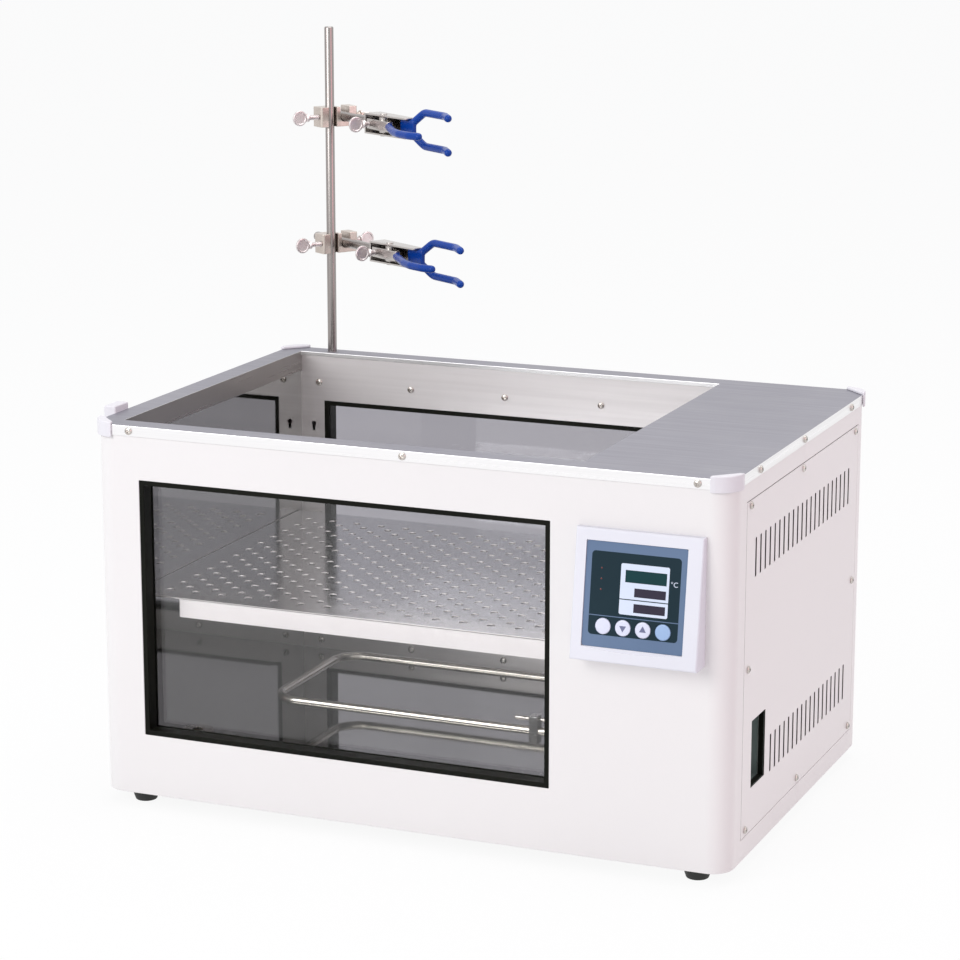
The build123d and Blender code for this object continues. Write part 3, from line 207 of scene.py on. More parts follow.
soft_lamp("front_box", (-1.3, -3.0, 1.9), (0, 0, 0.2), 2.2, 62, (1.0, 1.0, 1.0))
soft_lamp("right_box", (3.2, -0.6, 1.2), (0.2, 0, 0.2), 1.8, 13, (1.0, 0.36, 0.44))
soft_lamp("top_box", (0.2, 0.4, 2.6), (0, 0, 0.2), 1.8, 26, (1.0, 0.99, 0.98))

# %% [markdown]
# ## Shared effects
# Most surfaces are plain at first sight, and what makes them real is small: brush lines in steel, the fine
# skin of powder coat, dust on what lies flat, and a lighter line along edges, which is a painted highlight
# on the pale parts and wear on rubber. Each effect is a node group, built once and placed in the materials
# with its own values.

# %% Helpers for effects
def effect(name, outputs, **inputs):
    """Start a node group: numbers and vectors come in with defaults, masks and values go out."""
    tree = bpy.data.node_groups.new(name, "ShaderNodeTree")
    for label, value in inputs.items():
        kind = "NodeSocketFloat" if isinstance(value, float) else "NodeSocketVector"
        tree.interface.new_socket(label, in_out="INPUT", socket_type=kind).default_value = value
    for label in outputs:
        tree.interface.new_socket(label, in_out="OUTPUT", socket_type="NodeSocketFloat")
    return tree, node(tree, "NodeGroupInput").outputs, node(tree, "NodeGroupOutput").inputs


def remap(tree, source, low, high, to_low=0.0, to_high=1.0, kind="LINEAR"):
    """Stretch a value from one range to another."""
    ends = {"Value": source, "From Min": low, "From Max": high, "To Min": to_low, "To Max": to_high}
    return node(tree, "ShaderNodeMapRange", ends, interpolation_type=kind).outputs["Result"]


def noise(tree, vector, scale, detail):
    """The value of a noise pattern."""
    values = {"Vector": vector, "Scale": scale, "Detail": detail}
    return node(tree, "ShaderNodeTexNoise", values).outputs["Fac"]


def stretched(tree, vector, stretch):
    """Coordinates that are stretched along their axes, which draws a pattern out into lines."""
    return node(tree, "ShaderNodeVectorMath", {0: vector, 1: stretch}, operation="MULTIPLY").outputs[0]


def coordinate(tree, vector, axis):
    """One coordinate of a vector."""
    return node(tree, "ShaderNodeSeparateXYZ", {0: vector}).outputs[axis]


def facing_mask(tree, axis, low, high):
    """1 where the surface faces along an axis beyond high, 0 before low."""
    surface = node(tree, "ShaderNodeNewGeometry")
    return remap(tree, coordinate(tree, surface.outputs["Normal"], axis), low, high)


# %% Node groups for shared effects
ORIGIN = (0, 0, 0)

# Soft patches of tone, stretched along an axis when the grain has a direction
uneven_tone, ins, outs = effect("uneven_tone", ["Tone"], Vector=ORIGIN, Stretch=(1, 1, 1), Scale=8.0)
patches = noise(uneven_tone, stretched(uneven_tone, ins["Vector"], ins["Stretch"]), ins["Scale"], 4.0)
feed(uneven_tone, outs, {"Tone": remap(uneven_tone, patches, 0.2, 0.8, kind="SMOOTHSTEP")})

# Fine parallel lines, as a belt leaves them in sheet steel
brushed_lines, ins, outs = effect(
    "brushed_lines", ["Lines", "Height"], Vector=ORIGIN, Stretch=(1, 60, 60), Scale=40.0,
)
along = stretched(brushed_lines, ins["Vector"], ins["Stretch"])
fine = noise(brushed_lines, along, ins["Scale"], 3.0)
wide = noise(brushed_lines, along, calc(brushed_lines, "MULTIPLY", ins["Scale"], 0.3), 2.0)
lines = calc(brushed_lines, "MULTIPLY", calc(brushed_lines, "ADD", fine, wide), 0.5)
feed(brushed_lines, outs, {"Lines": remap(brushed_lines, lines, 0.35, 0.65), "Height": lines})

# The fine skin of paint or moulded plastic
skin_grain, ins, outs = effect("skin_grain", ["Height"], Vector=ORIGIN, Scale=700.0)
feed(skin_grain, outs, {"Height": noise(skin_grain, ins["Vector"], ins["Scale"], 1.5)})

# Dust that settles on what faces up
settled_dust, ins, outs = effect("settled_dust", ["Dust"], Vector=ORIGIN, Amount=0.2)
specks = remap(settled_dust, noise(settled_dust, ins["Vector"], 18.0, 6.0), 0.4, 0.7)
on_top = calc(settled_dust, "MULTIPLY", facing_mask(settled_dust, "Z", 0.6, 1.0), specks)
feed(settled_dust, outs, {"Dust": calc(settled_dust, "MULTIPLY", on_top, ins["Amount"])})

# A narrow lighter band along edges: a painted highlight on pale parts, and wear where the part is rubber
edge_highlight_and_wear, ins, outs = effect("edge_highlight_and_wear", ["Edge"], Width=0.001)
rounded = node(edge_highlight_and_wear, "ShaderNodeBevel", {"Radius": ins["Width"]}, samples=4).outputs["Normal"]
plain = node(edge_highlight_and_wear, "ShaderNodeNewGeometry").outputs["Normal"]
likeness = node(edge_highlight_and_wear, "ShaderNodeVectorMath", {0: rounded, 1: plain}, operation="DOT_PRODUCT")
feed(edge_highlight_and_wear, outs, {"Edge": remap(edge_highlight_and_wear, likeness.outputs["Value"], 0.995, 0.8)})
print("effects:", [g.name for g in bpy.data.node_groups])

# %% [markdown]
# ## Materials
# Every finish starts as the same small tree: one Principled shader, the object's own coordinates, and a
# colour that is mixed by masks. Metals are set by their own colour and a brushed roughness, and paints and
# plastics by a base colour with a weak skin under it. Each finish is kept under its name.

# %% Helpers for materials
DUST_ON_PAINT, DUST_ON_METAL, DUST_ON_DECK = (0.55, 0.53, 0.50), (0.6, 0.58, 0.55), (0.6, 0.59, 0.58)
EDGE_WIDTH, PAINT_PATCHES, METAL_PATCHES, GRAIN_STRENGTH = 0.0008, 9.0, 14.0, 0.6
finishes = {}


def paint(name, **sockets):
    """A material with one Principled shader; constants are set on its own sockets."""
    finishes[name], tree = blank_material(name)
    constants = {label.replace("_", " "): value for label, value in sockets.items()}
    shader = node(tree, "ShaderNodeBsdfPrincipled", constants)
    node(tree, "ShaderNodeOutputMaterial", {"Surface": shader.outputs[0]})
    return tree, shader.inputs, node(tree, "ShaderNodeTexCoord").outputs["Object"]


def placed(tree, group, **values):
    """Put a shared effect in a material."""
    return node(tree, "ShaderNodeGroup", values, node_tree=group).outputs


def blend(tree, mask, low, high):
    """Mix two colours; each is a colour or a socket."""
    return node(tree, "ShaderNodeMix", {0: mask, 6: low, 7: high}, data_type="RGBA").outputs[2]


def value_mix(tree, mask, low, high):
    """Mix two values by a mask."""
    return node(tree, "ShaderNodeMix", {0: mask, 2: low, 3: high}, data_type="FLOAT").outputs[0]


def between(tree, mask, low, high):
    """A value that runs from low to high with a mask."""
    return remap(tree, mask, 0.0, 1.0, low, high)


def bump(tree, height, depth, strength=1.0):
    """A normal that follows a height, with its depth in microns."""
    values = {"Strength": strength, "Distance": depth * MICRON, "Height": height}
    return node(tree, "ShaderNodeBump", values).outputs[0]


def plastic(name, dark, light, rough, grain, depth, dust=0.0, edge=None, inner_shade=None, **sockets):
    """Moulded plastic, rubber or paint: two close tones, a fine skin, dust, and lighter edges (a painted
    highlight, wear on rubber).
    """
    tree, shader, place = paint(name, **sockets)
    tone = placed(tree, uneven_tone, Vector=place, Scale=PAINT_PATCHES)["Tone"]
    colour = blend(tree, tone, dark, light)
    # Where an edge colour is given, edges are painted lighter: a painted highlight on pale parts, wear on
    # rubber
    if edge:
        colour = blend(tree, placed(tree, edge_highlight_and_wear, Width=EDGE_WIDTH)["Edge"], colour, edge)
    settled = placed(tree, settled_dust, Vector=place, Amount=dust)["Dust"]
    colour = blend(tree, settled, colour, DUST_ON_PAINT)
    # Faces turned away from the outside are painted near black: painted shade in slots and behind the sheet
    if inner_shade:
        colour = blend(tree, facing_mask(tree, "X", 0.35, 0.1), colour, inner_shade)
    skin = placed(tree, skin_grain, Vector=place, Scale=grain)["Height"]
    roughness = between(tree, tone, *rough)
    feed(tree, shader, {"Base Color": colour, "Roughness": roughness, "Normal": bump(tree, skin, depth)})


def metal(name, dark, light, rough, stretch, scale, depth=12, dust=0.05):
    """Steel, chrome or brass with a direction of grain."""
    tree, shader, place = paint(name, Metallic=1.0)
    grain = placed(tree, brushed_lines, Vector=place, Stretch=stretch, Scale=scale)
    tone = placed(tree, uneven_tone, Vector=place, Scale=METAL_PATCHES)["Tone"]
    colour = blend(tree, calc(tree, "MULTIPLY", grain["Lines"], tone), dark, light)
    settled = placed(tree, settled_dust, Vector=place, Amount=dust)["Dust"]
    feed(tree, shader, {
        "Base Color": blend(tree, settled, colour, DUST_ON_METAL),
        "Roughness": between(tree, grain["Lines"], rough[1], rough[0]),
        "Normal": bump(tree, grain["Height"], depth, GRAIN_STRENGTH),
    })


# %% [markdown]
# ### Enamel of the body
# The shells are sheet steel with a stoved white enamel: glossy, with a faint orange skin and slightly warmer
# patches. Two tones and a long-wave noise give that, and a clear coat gives the gloss that the photograph
# shows. On the side cover, what faces inward or lies in a slot is painted near black, as painted shade in
# the louvre slots.

# %% Painted and moulded finishes: two tones, roughness, grain, its depth in microns, dust
ENAMEL = (0.804, 0.781, 0.775), (0.812, 0.789, 0.783), (0.29, 0.31), 260.0, 35, 0.04
CLEAR_COAT = {"Coat_Weight": 0.3, "Coat_Roughness": 0.12}
# The edge colours below are painted highlights on the pale finishes, and wear on the rubber seal
plastic("white_enamel", *ENAMEL, edge=(0.90, 0.89, 0.88), **CLEAR_COAT)
# The near black on inward faces is painted shade, so the louvre slots read dark
plastic("cover_enamel", *ENAMEL, inner_shade=(0.030, 0.026, 0.016), **CLEAR_COAT)
plastic(
    "cap_plastic", (0.72, 0.70, 0.74), (0.78, 0.765, 0.80), (0.34, 0.46), 420.0, 30, 0.05,
    edge=(0.86, 0.86, 0.88),
)
plastic(
    "bezel_plastic", (0.72, 0.72, 0.78), (0.755, 0.755, 0.815), (0.38, 0.5), 600.0, 30, 0.03,
    edge=(0.9, 0.9, 0.93),
)
plastic(
    "seal_rubber", (0.003, 0.0035, 0.002), (0.007, 0.0075, 0.005), (0.38, 0.55), 500.0, 40, 0.02,
    edge=(0.02, 0.02, 0.018), Specular_IOR_Level=0.1,
)
plastic("foot_rubber", (0.008, 0.009, 0.008), (0.02, 0.021, 0.02), (0.5, 0.7), 350.0, 60, 0.2)
plastic("lever_plastic", (0.008, 0.008, 0.009), (0.018, 0.018, 0.02), (0.3, 0.42), 700.0, 20, 0.1)
plastic("breaker_plastic", (0.14, 0.18, 0.17), (0.18, 0.225, 0.21), (0.42, 0.55), 700.0, 30, 0.1)
plastic("circuit_green", (0.01, 0.10, 0.035), (0.02, 0.15, 0.055), (0.3, 0.4), 200.0, 40, 0.2)
plastic("button_lavender", (0.66, 0.68, 0.82), (0.71, 0.73, 0.87), (0.3, 0.4), 900.0, 10)
plastic("button_blue", (0.30, 0.44, 0.68), (0.34, 0.48, 0.73), (0.3, 0.4), 900.0, 10)
plastic("symbol_ink", (0.12, 0.13, 0.24), (0.16, 0.17, 0.29), (0.4, 0.5), 900.0, 5)
plastic(
    "panel_slate", (0.11, 0.17, 0.28), (0.135, 0.20, 0.32), (0.4, 0.5), 1200.0, 10,
    Specular_IOR_Level=0.25,
)
plastic(
    "panel_dark", (0.008, 0.024, 0.034), (0.012, 0.03, 0.042), (0.34, 0.42), 1200.0, 10,
    Specular_IOR_Level=0.12,
)
plastic("panel_pale", (0.63, 0.70, 0.84), (0.68, 0.75, 0.89), (0.34, 0.44), 1200.0, 10)
plastic(
    "display_teal", (0.006, 0.04, 0.045), (0.01, 0.055, 0.06), (0.1, 0.16), 900.0, 3,
    Specular_IOR_Level=0.15,
)
plastic(
    "display_purple", (0.035, 0.03, 0.05), (0.05, 0.042, 0.065), (0.1, 0.16), 900.0, 3,
    Specular_IOR_Level=0.15,
)
plastic("lamp_red", (0.10, 0.02, 0.02), (0.14, 0.03, 0.03), (0.15, 0.2), 900.0, 3)
plastic(
    "dipped_vinyl", (0.0003, 0.034, 0.25), (0.0006, 0.052, 0.34), (0.26, 0.36), 60.0, 50,
    Coat_Weight=0.06, Coat_Roughness=0.14, Specular_IOR_Level=0.22,
)
print("paints and plastics:", len(finishes))

# %% [markdown]
# ### Metals
# The sheets are brushed, the clamps are plated and their bosses are cast. They differ in colour, in roughness
# and in the direction of the grain, so each gets its own stretch.

# %% Metal finishes: two tones, roughness, stretch and scale of the grain, its depth in microns
metal("frame_steel", (0.60, 0.59, 0.58), (0.80, 0.79, 0.78), (0.16, 0.28), (3, 50, 50), 26.0)
metal("shelf_steel", (0.60, 0.60, 0.62), (0.68, 0.68, 0.70), (0.12, 0.19), (1, 30, 30), 8.0, 2)
metal("base_steel", (0.34, 0.34, 0.34), (0.5, 0.5, 0.5), (0.35, 0.5), (2, 30, 30), 12.0, dust=0.2)
metal("rod_steel", (0.32, 0.293, 0.284), (0.365, 0.335, 0.325), (0.22, 0.26), (12, 12, 1), 10.0, 1)
metal("nickel_plate", (0.52, 0.48, 0.45), (0.74, 0.71, 0.68), (0.18, 0.3), (6, 6, 6), 60.0)
metal("clamp_head_steel", (0.50, 0.47, 0.45), (0.60, 0.57, 0.55), (0.2, 0.26), (3, 20, 20), 18.0, 2)
# Hole walls and turned-down edges of the shelf: a painted highlight, near white and warm
metal("lit_punched_edge", (0.91, 0.86, 0.86), (0.98, 0.93, 0.93), (0.3, 0.42), (8, 8, 8), 40.0)
metal("cast_boss", (0.54, 0.475, 0.43), (0.72, 0.65, 0.60), (0.26, 0.34), (5, 5, 5), 90.0, 10)
metal("wing_alloy", (0.66, 0.60, 0.60), (0.86, 0.82, 0.82), (0.28, 0.42), (5, 5, 5), 80.0, 40)
metal("heater_sheath", (0.66, 0.62, 0.56), (0.80, 0.75, 0.68), (0.14, 0.24), (2, 12, 12), 14.0, 4)
metal("brass", (0.62, 0.44, 0.18), (0.80, 0.60, 0.28), (0.2, 0.34), (6, 6, 6), 50.0)
metal("heat_sink", (0.50, 0.50, 0.52), (0.66, 0.66, 0.68), (0.3, 0.45), (2, 40, 40), 20.0)

# %% [markdown]
# ### Window glass
# The panes are float glass. The front one is clear and the rear one is grey, as it looks in the photograph.
# A pane is a transmission shader with a plain index and no roughness, so the faint wipe marks sit in its tone
# alone.

# %% Glass
def pane_material(name, deep, pale):
    """Float glass: a clear tint with faint wipe marks in its tone."""
    tree, shader, place = paint(name, Metallic=0.0, Transmission_Weight=1.0, IOR=1.45, Roughness=0.0)
    wipe = placed(tree, uneven_tone, Vector=place, Stretch=(1.0, 1.0, 4.0), Scale=3.0)["Tone"]
    feed(tree, shader, {"Base Color": blend(tree, wipe, deep, pale)})


pane_material("clear_pane", (0.92, 0.925, 0.93), (0.95, 0.955, 0.96))
pane_material("grey_pane", (0.36, 0.35, 0.385), (0.39, 0.38, 0.415))

# %% [markdown]
# ### Tank and top frame
# The tank's side walls are polished and mirror each other, and its back wall is brushed. The back wall is
# also painted much lighter and the polished walls darker: painted light and painted shade. The rim is one
# stainless pressing with a bright band round the edge and a satin deck over the electronics; the band is
# painted near white and the deck dark blue-grey, as painted reflections. One piece has one material here, so
# each of these two decides by which way the surface faces, instead of cutting the sheet into pieces.

# %% Tank: brushed and painted lighter where it faces the front, polished and painted darker elsewhere
tree, shader, place = paint("tank_steel", Metallic=1.0)
# The back wall's light colour is painted light, and the darker polished walls are painted shade
brushed_lit_back = facing_mask(tree, "Y", -0.75, -0.95)
sheen = placed(tree, brushed_lines, Vector=place, Stretch=(1, 1, 30), Scale=6.0)
tone = placed(tree, uneven_tone, Vector=place, Scale=5.0)["Tone"]
polished = blend(tree, tone, (0.41, 0.405, 0.395), (0.46, 0.455, 0.445))
brushed = blend(tree, sheen["Lines"], (0.66, 0.63, 0.635), (0.74, 0.71, 0.715))
smooth, satin = between(tree, tone, 0.04, 0.07), between(tree, sheen["Lines"], 0.52, 0.44)
feed(tree, shader, {
    "Base Color": blend(tree, brushed_lit_back, polished, brushed),
    "Roughness": value_mix(tree, brushed_lit_back, smooth, satin),
    "Normal": bump(tree, calc(tree, "MULTIPLY", brushed_lit_back, sheen["Height"]), 2, 0.5),
})

# %% Top frame: satin and painted dark where it faces up, painted bright on its bands, painted shade on the wall into the tank
tree, shader, place = paint("deck_and_rim", Metallic=1.0)
upward = facing_mask(tree, "Z", 0.75, 0.95)
# The wall that drops into the tank at the left end is painted dark: painted shade
left_end = remap(tree, coordinate(tree, place, "X"), -0.2, -0.21)
shaded_wall_into_tank = calc(tree, "MULTIPLY", facing_mask(tree, "X", 0.7, 0.9), left_end)
grain = placed(tree, brushed_lines, Vector=place, Stretch=(1, 45, 45), Scale=14.0)
band = placed(tree, brushed_lines, Vector=place, Stretch=(1, 1, 60), Scale=12.0)
tone = placed(tree, uneven_tone, Vector=place, Scale=6.0)["Tone"]
# Bands painted near white and the upward deck dark blue-grey: painted reflections, chosen by facing
rim_colour = blend(tree, band["Lines"], (0.86, 0.85, 0.86), (0.94, 0.93, 0.94))
rim_colour = blend(tree, shaded_wall_into_tank, rim_colour, (0.34, 0.32, 0.31))
deck_tone = calc(tree, "MULTIPLY", grain["Lines"], tone)
deck_colour = blend(tree, deck_tone, (0.285, 0.28, 0.32), (0.33, 0.325, 0.37))
sheet_colour = blend(tree, upward, rim_colour, deck_colour)
rim_rough, deck_rough = between(tree, band["Lines"], 0.34, 0.26), between(tree, grain["Lines"], 0.55, 0.44)
dusty = placed(tree, settled_dust, Vector=place, Amount=0.06)["Dust"]
feed(tree, shader, {
    "Base Color": blend(tree, dusty, sheet_colour, DUST_ON_DECK),
    "Roughness": value_mix(tree, upward, rim_rough, deck_rough),
    "Normal": bump(tree, grain["Height"], 12, GRAIN_STRENGTH),
})
print("finishes:", len(finishes))

# %% [markdown]
# ## Taking a CAD piece as a start
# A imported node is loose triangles. Its copy is merged into clean faces, gets rounded edges from a Bevel
# modifier and smooth shading, and then stands for the node. Modelling each sheet again would be slower and
# could miss the CAD.

# %% Helpers for pieces
def solid_of(node_name):
    """A clean copy of a CAD node's mesh, in millimetres."""
    bm = bmesh.new()
    bm.from_mesh(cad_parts[node_name].data)
    bmesh.ops.scale(bm, vec=(1 / MM,) * 3, verts=bm.verts)
    bmesh.ops.remove_doubles(bm, verts=bm.verts, dist=0.002)
    bmesh.ops.dissolve_limit(bm, angle_limit=math.radians(0.6), verts=bm.verts, edges=bm.edges)
    return bm


def add_to(whole, part, matrix=None, again=False):
    """Put one bmesh in another, moved by a matrix, and free it unless it is used again."""
    carrier = bpy.data.meshes.new("carrier")
    part.to_mesh(carrier)
    if matrix is not None:
        carrier.transform(matrix)
    whole.from_mesh(carrier)
    bpy.data.meshes.remove(carrier)
    if not again:
        part.free()
    return whole


def moved(part, matrix):
    """A bmesh in its place."""
    return add_to(bmesh.new(), part, matrix)


def make_piece(
    name, bm, material, slot, body="bath", replaces=(), soften=0.0, steps=2, sharp=35.0, also=(),
):
    """Turn a bmesh in millimetres into a finished piece that rides on a body."""
    bmesh.ops.scale(bm, vec=(MM,) * 3, verts=bm.verts)
    mesh = mesh_of(bm, name)
    for finish in (material, *also):
        mesh.materials.append(finishes[finish])
    mesh.shade_smooth()
    mesh.set_sharp_from_angle(angle=math.radians(sharp))
    piece = new_object(name, mesh)
    if soften:
        rounding = piece.modifiers.new("rounded_edges", "BEVEL")
        rounding.width = soften * MM
        rounding.segments = steps
        rounding.limit_method = "ANGLE"
        rounding.angle_limit = math.radians(sharp)
        flats = piece.modifiers.new("flat_faces_stay_flat", "WEIGHTED_NORMAL")
        flats.keep_sharp = True
        flats.weight = 80
    if replaces:
        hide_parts(*replaces)
    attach(piece, body)
    return piece


def stand_in(node_name, bm, material, slot, soften=0.0, steps=2, **more):
    """Let a new form stand for a CAD node."""
    name = node_name + "_finished"
    return make_piece(name, bm, material, slot, replaces=(node_name,), soften=soften, steps=steps, **more)


def dressed(node_name, material, slot, soften, steps, **more):
    """Let a softened copy stand for a CAD node."""
    return stand_in(node_name, solid_of(node_name), material, slot, soften, steps, **more)


# %% Helpers for spun and flat forms
def turned(profile, sides=48):
    """Spin a profile of (radius, height) points about Z, and close it."""
    bm = bmesh.new()
    row = [bm.verts.new((radius, 0, height)) for radius, height in profile]
    edges = [bm.edges.new(pair) for pair in zip(row, row[1:])]
    whole_turn = {"cent": (0, 0, 0), "axis": (0, 0, 1), "angle": 2 * math.pi, "steps": sides}
    bmesh.ops.spin(bm, geom=row + edges, use_merge=True, **whole_turn)
    bmesh.ops.remove_doubles(bm, verts=bm.verts, dist=0.0005)
    bmesh.ops.recalc_face_normals(bm, faces=bm.faces)
    return bm


def aim(place, direction, turn=0.0):
    """A matrix that takes Z to a direction and the origin to a place."""
    quaternion = Vector(direction).to_track_quat("Z", "Y")
    return Matrix.Translation(place) @ quaternion.to_matrix().to_4x4() @ Matrix.Rotation(turn, 4, "Z")


def new_verts(made):
    """The vertices among what an operator made."""
    return [part for part in made["geom"] if isinstance(part, bmesh.types.BMVert)]


def raised(bm, height, keep_flat=False):
    """Give a flat form a height, and turn its faces outwards."""
    made = bmesh.ops.extrude_face_region(bm, geom=bm.faces[:], use_keep_orig=keep_flat)
    bmesh.ops.translate(bm, vec=(0, 0, height), verts=new_verts(made))
    bmesh.ops.recalc_face_normals(bm, faces=bm.faces)
    return bm


def prism(sides, radius, height):
    """A round or many-sided plate, its back at z = 0."""
    bm = bmesh.new()
    bmesh.ops.create_circle(bm, segments=sides, radius=radius, cap_ends=True)
    return raised(bm, height)


def plate(width, height, corner, thickness):
    """A flat plate with rounded corners, its back at z = 0."""
    bm = bmesh.new()
    bmesh.ops.create_grid(bm, x_segments=1, y_segments=1, size=0.5)
    bmesh.ops.scale(bm, vec=(width, height, 1), verts=bm.verts)
    if corner:
        round_off = {"offset": corner, "segments": 6, "profile": 0.5, "material": -1}
        bmesh.ops.bevel(bm, geom=bm.verts[:], affect="VERTICES", **round_off)
    return raised(bm, thickness)


def outline(bm, points, z=0.0):
    """A closed ring of edges."""
    ring = [bm.verts.new((x, y, z)) for x, y in points]
    for vert, following in zip(ring, ring[1:] + ring[:1]):
        bm.edges.new((vert, following))


def filled(bm, thickness):
    """Fill an outline round its holes in one step, and give the sheet its thickness."""
    bmesh.ops.triangle_fill(bm, use_beauty=True, use_dissolve=False, edges=bm.edges)
    for face in bm.faces:
        if face.normal.z < 0:
            face.normal_flip()
    return raised(bm, thickness, keep_flat=True)


# %% Helper for bent bars
TIP_RINGS, TIP_ANGLE = 4, math.radians(85)


def tube(points, radius, bend, sides=24, steps=8, rounded=(True, True)):
    """A bent bar: a circle that is extruded along straights and spun round each corner."""
    points = [Vector(p) for p in points]
    bm = bmesh.new()
    heading = (points[1] - points[0]).normalized()
    bmesh.ops.create_circle(bm, segments=sides, radius=radius, matrix=aim(points[0], heading))
    ring = bm.edges[:]
    here = points[0]

    def push(offset, shrink=1.0):
        """Extrude the open ring by an offset, and shrink the new one about its middle."""
        nonlocal ring
        made = bmesh.ops.extrude_edge_only(bm, edges=ring)
        verts = new_verts(made)
        ring = [g for g in made["geom"] if isinstance(g, bmesh.types.BMEdge) and set(g.verts) <= set(verts)]
        bmesh.ops.translate(bm, vec=offset, verts=verts)
        if shrink != 1.0:
            centre = sum((v.co for v in verts), Vector()) / len(verts)
            bmesh.ops.scale(bm, vec=(shrink,) * 3, verts=verts, space=Matrix.Translation(-centre))

    def tip(direction):
        """Round an end with rings on a quarter circle."""
        done, last = 0.0, 1.0
        for step in range(1, TIP_RINGS + 1):
            angle = TIP_ANGLE * step / TIP_RINGS
            reach, size = math.sin(angle) * radius, math.cos(angle)
            push(direction * (reach - done), size / last)
            done, last = reach, size

    if rounded[0]:
        bmesh.ops.translate(bm, vec=heading * radius, verts=bm.verts)
        here = here + heading * radius
        first_ring = ring
        tip(-heading)
        ring = first_ring
    for target, following in zip(points[1:], points[2:]):
        onward = (following - target).normalized()
        angle = heading.angle(onward)
        cut = bend * math.tan(angle / 2)
        push(target - heading * cut - here)
        axis = heading.cross(onward).normalized()
        centre = target - heading * cut + axis.cross(heading) * bend
        corner = list({v for e in ring for v in e.verts}) + ring
        spun = bmesh.ops.spin(
            bm, geom=corner, cent=centre, axis=axis, angle=angle, steps=steps, use_merge=False,
        )
        ring = [g for g in spun["geom_last"] if isinstance(g, bmesh.types.BMEdge)]
        here = target + onward * cut
        heading = onward
    push(points[-1] - heading * (radius if rounded[1] else 0.0) - here)
    if rounded[1]:
        tip(heading)
    bmesh.ops.holes_fill(bm, edges=[e for e in bm.edges if e.is_boundary], sides=0)
    bmesh.ops.recalc_face_normals(bm, faces=bm.faces)
    return bm


# %% Helpers that read a node's solids or apply modifiers
def islands(node_name):
    """The separate solids of a node, each as its lowest and highest corner, in millimetres."""
    bm = solid_of(node_name)
    left = set(bm.verts)
    found = []
    while left:
        stack = [left.pop()]
        group = [stack[0]]
        while stack:
            near = {vert for edge in stack.pop().link_edges for vert in edge.verts} & left
            left -= near
            stack += near
            group += near
        low = Vector([min(v.co[axis] for v in group) for axis in range(3)])
        high = Vector([max(v.co[axis] for v in group) for axis in range(3)])
        found.append((low, high))
    bm.free()
    return sorted(found, key=lambda box: tuple(round(c, 1) for c in box[0]))


def applied(carrier):
    """The form of an object with its modifiers applied; the object goes."""
    bpy.context.view_layer.update()
    graph = bpy.context.evaluated_depsgraph_get()
    bm = bmesh.new()
    bm.from_mesh(bpy.data.meshes.new_from_object(carrier.evaluated_get(graph)))
    bpy.data.objects.remove(carrier)
    return bm


def carved(blank, cutter):
    """Take one closed form out of another with an exact Boolean, and give back the rest."""
    holder = new_object("blank", mesh_of(blank, "blank"))
    tool = new_object("cutter", mesh_of(cutter, "cutter"))
    cut = holder.modifiers.new("recess", "BOOLEAN")
    cut.operation = "DIFFERENCE"
    cut.object = tool
    cut.solver = "EXACT"
    rest = applied(holder)
    bpy.data.objects.remove(tool)
    return rest


print("helpers ready")

# %% [markdown]
# ## Body shells and tank
# Two pressed shells meet in a seam on each side. They already have the right form from the CAD, so a rounded
# copy takes their place and only the edges and the finish change. The tank and the sheet frame are treated
# the same way.

# %% Body, tank and base
for shell in ("front_shell", "rear_shell"):
    dressed(shell, "white_enamel", "enamel", 0.6, 3)
dressed("side_cover", "cover_enamel", "enamel", 0.25, 2)
dressed("base_plate", "base_steel", "stainless", 0.3, 1)
dressed("shelf_supports", "frame_steel", "stainless", 0.3, 2)
dressed("tank", "tank_steel", "tank_steel", 0.4, 2)
top_frame = dressed("top_frame", "deck_and_rim", "stainless", 0.35, 3)
print("top frame edges rounded by", top_frame.modifiers[0].width, "m")

# %% [markdown]
# ### Corner caps and rear block
# Moulded caps protect the corners of the rim. They are shells with generous rounds, so a wide bevel in four
# steps on the CAD form is enough.

# %% Caps and rear block
for corner in ("front_left", "front_right", "rear_left", "rear_right"):
    dressed("corner_cap_" + corner, "cap_plastic", "cap_plastic", 1.1, 4, sharp=28)
dressed("rim_block", "cap_plastic", "cap_plastic", 1.2, 4)

# %% [markdown]
# ## Windows
# Each window is a pane in a black moulded gasket, held by a steel frame with small screws. The panes stay CAD
# nodes, since flat glass is already right, and only take the glass material. The gasket gets soft edges.

# %% Panes, gaskets and frames
for side, glass in (("front", "clear_pane"), ("rear", "grey_pane")):
    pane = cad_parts["glass_" + side]
    pane.material_slots[0].material = finishes[glass]
    pane.visible_shadow = False
    dressed("gasket_" + side, "seal_rubber", "rubber", 0.7, 3)
dressed("window_frames", "frame_steel", "stainless", 0.3, 2)

# %% [markdown]
# ## Pan-head screws
# The rim, the side cover and the window frames are held by small pan-head screws with a cross recess. One
# head is modelled, a spun dome with a cross pressed into it, and copies go where the CAD has a screw.

# %% One screw head and its copies
SCREW_HEAD_R, SCREW_HEAD_H, SCREW_HEAD_EDGE, SCREW_SHANK_R, DOME_STEPS = 3.4, 2.2, 0.7, 1.5, 6
CROSS_LONG, CROSS_WIDE, CROSS_FLOOR, CROSS_TURN = 3.8, 0.85, 0.9, 0.7


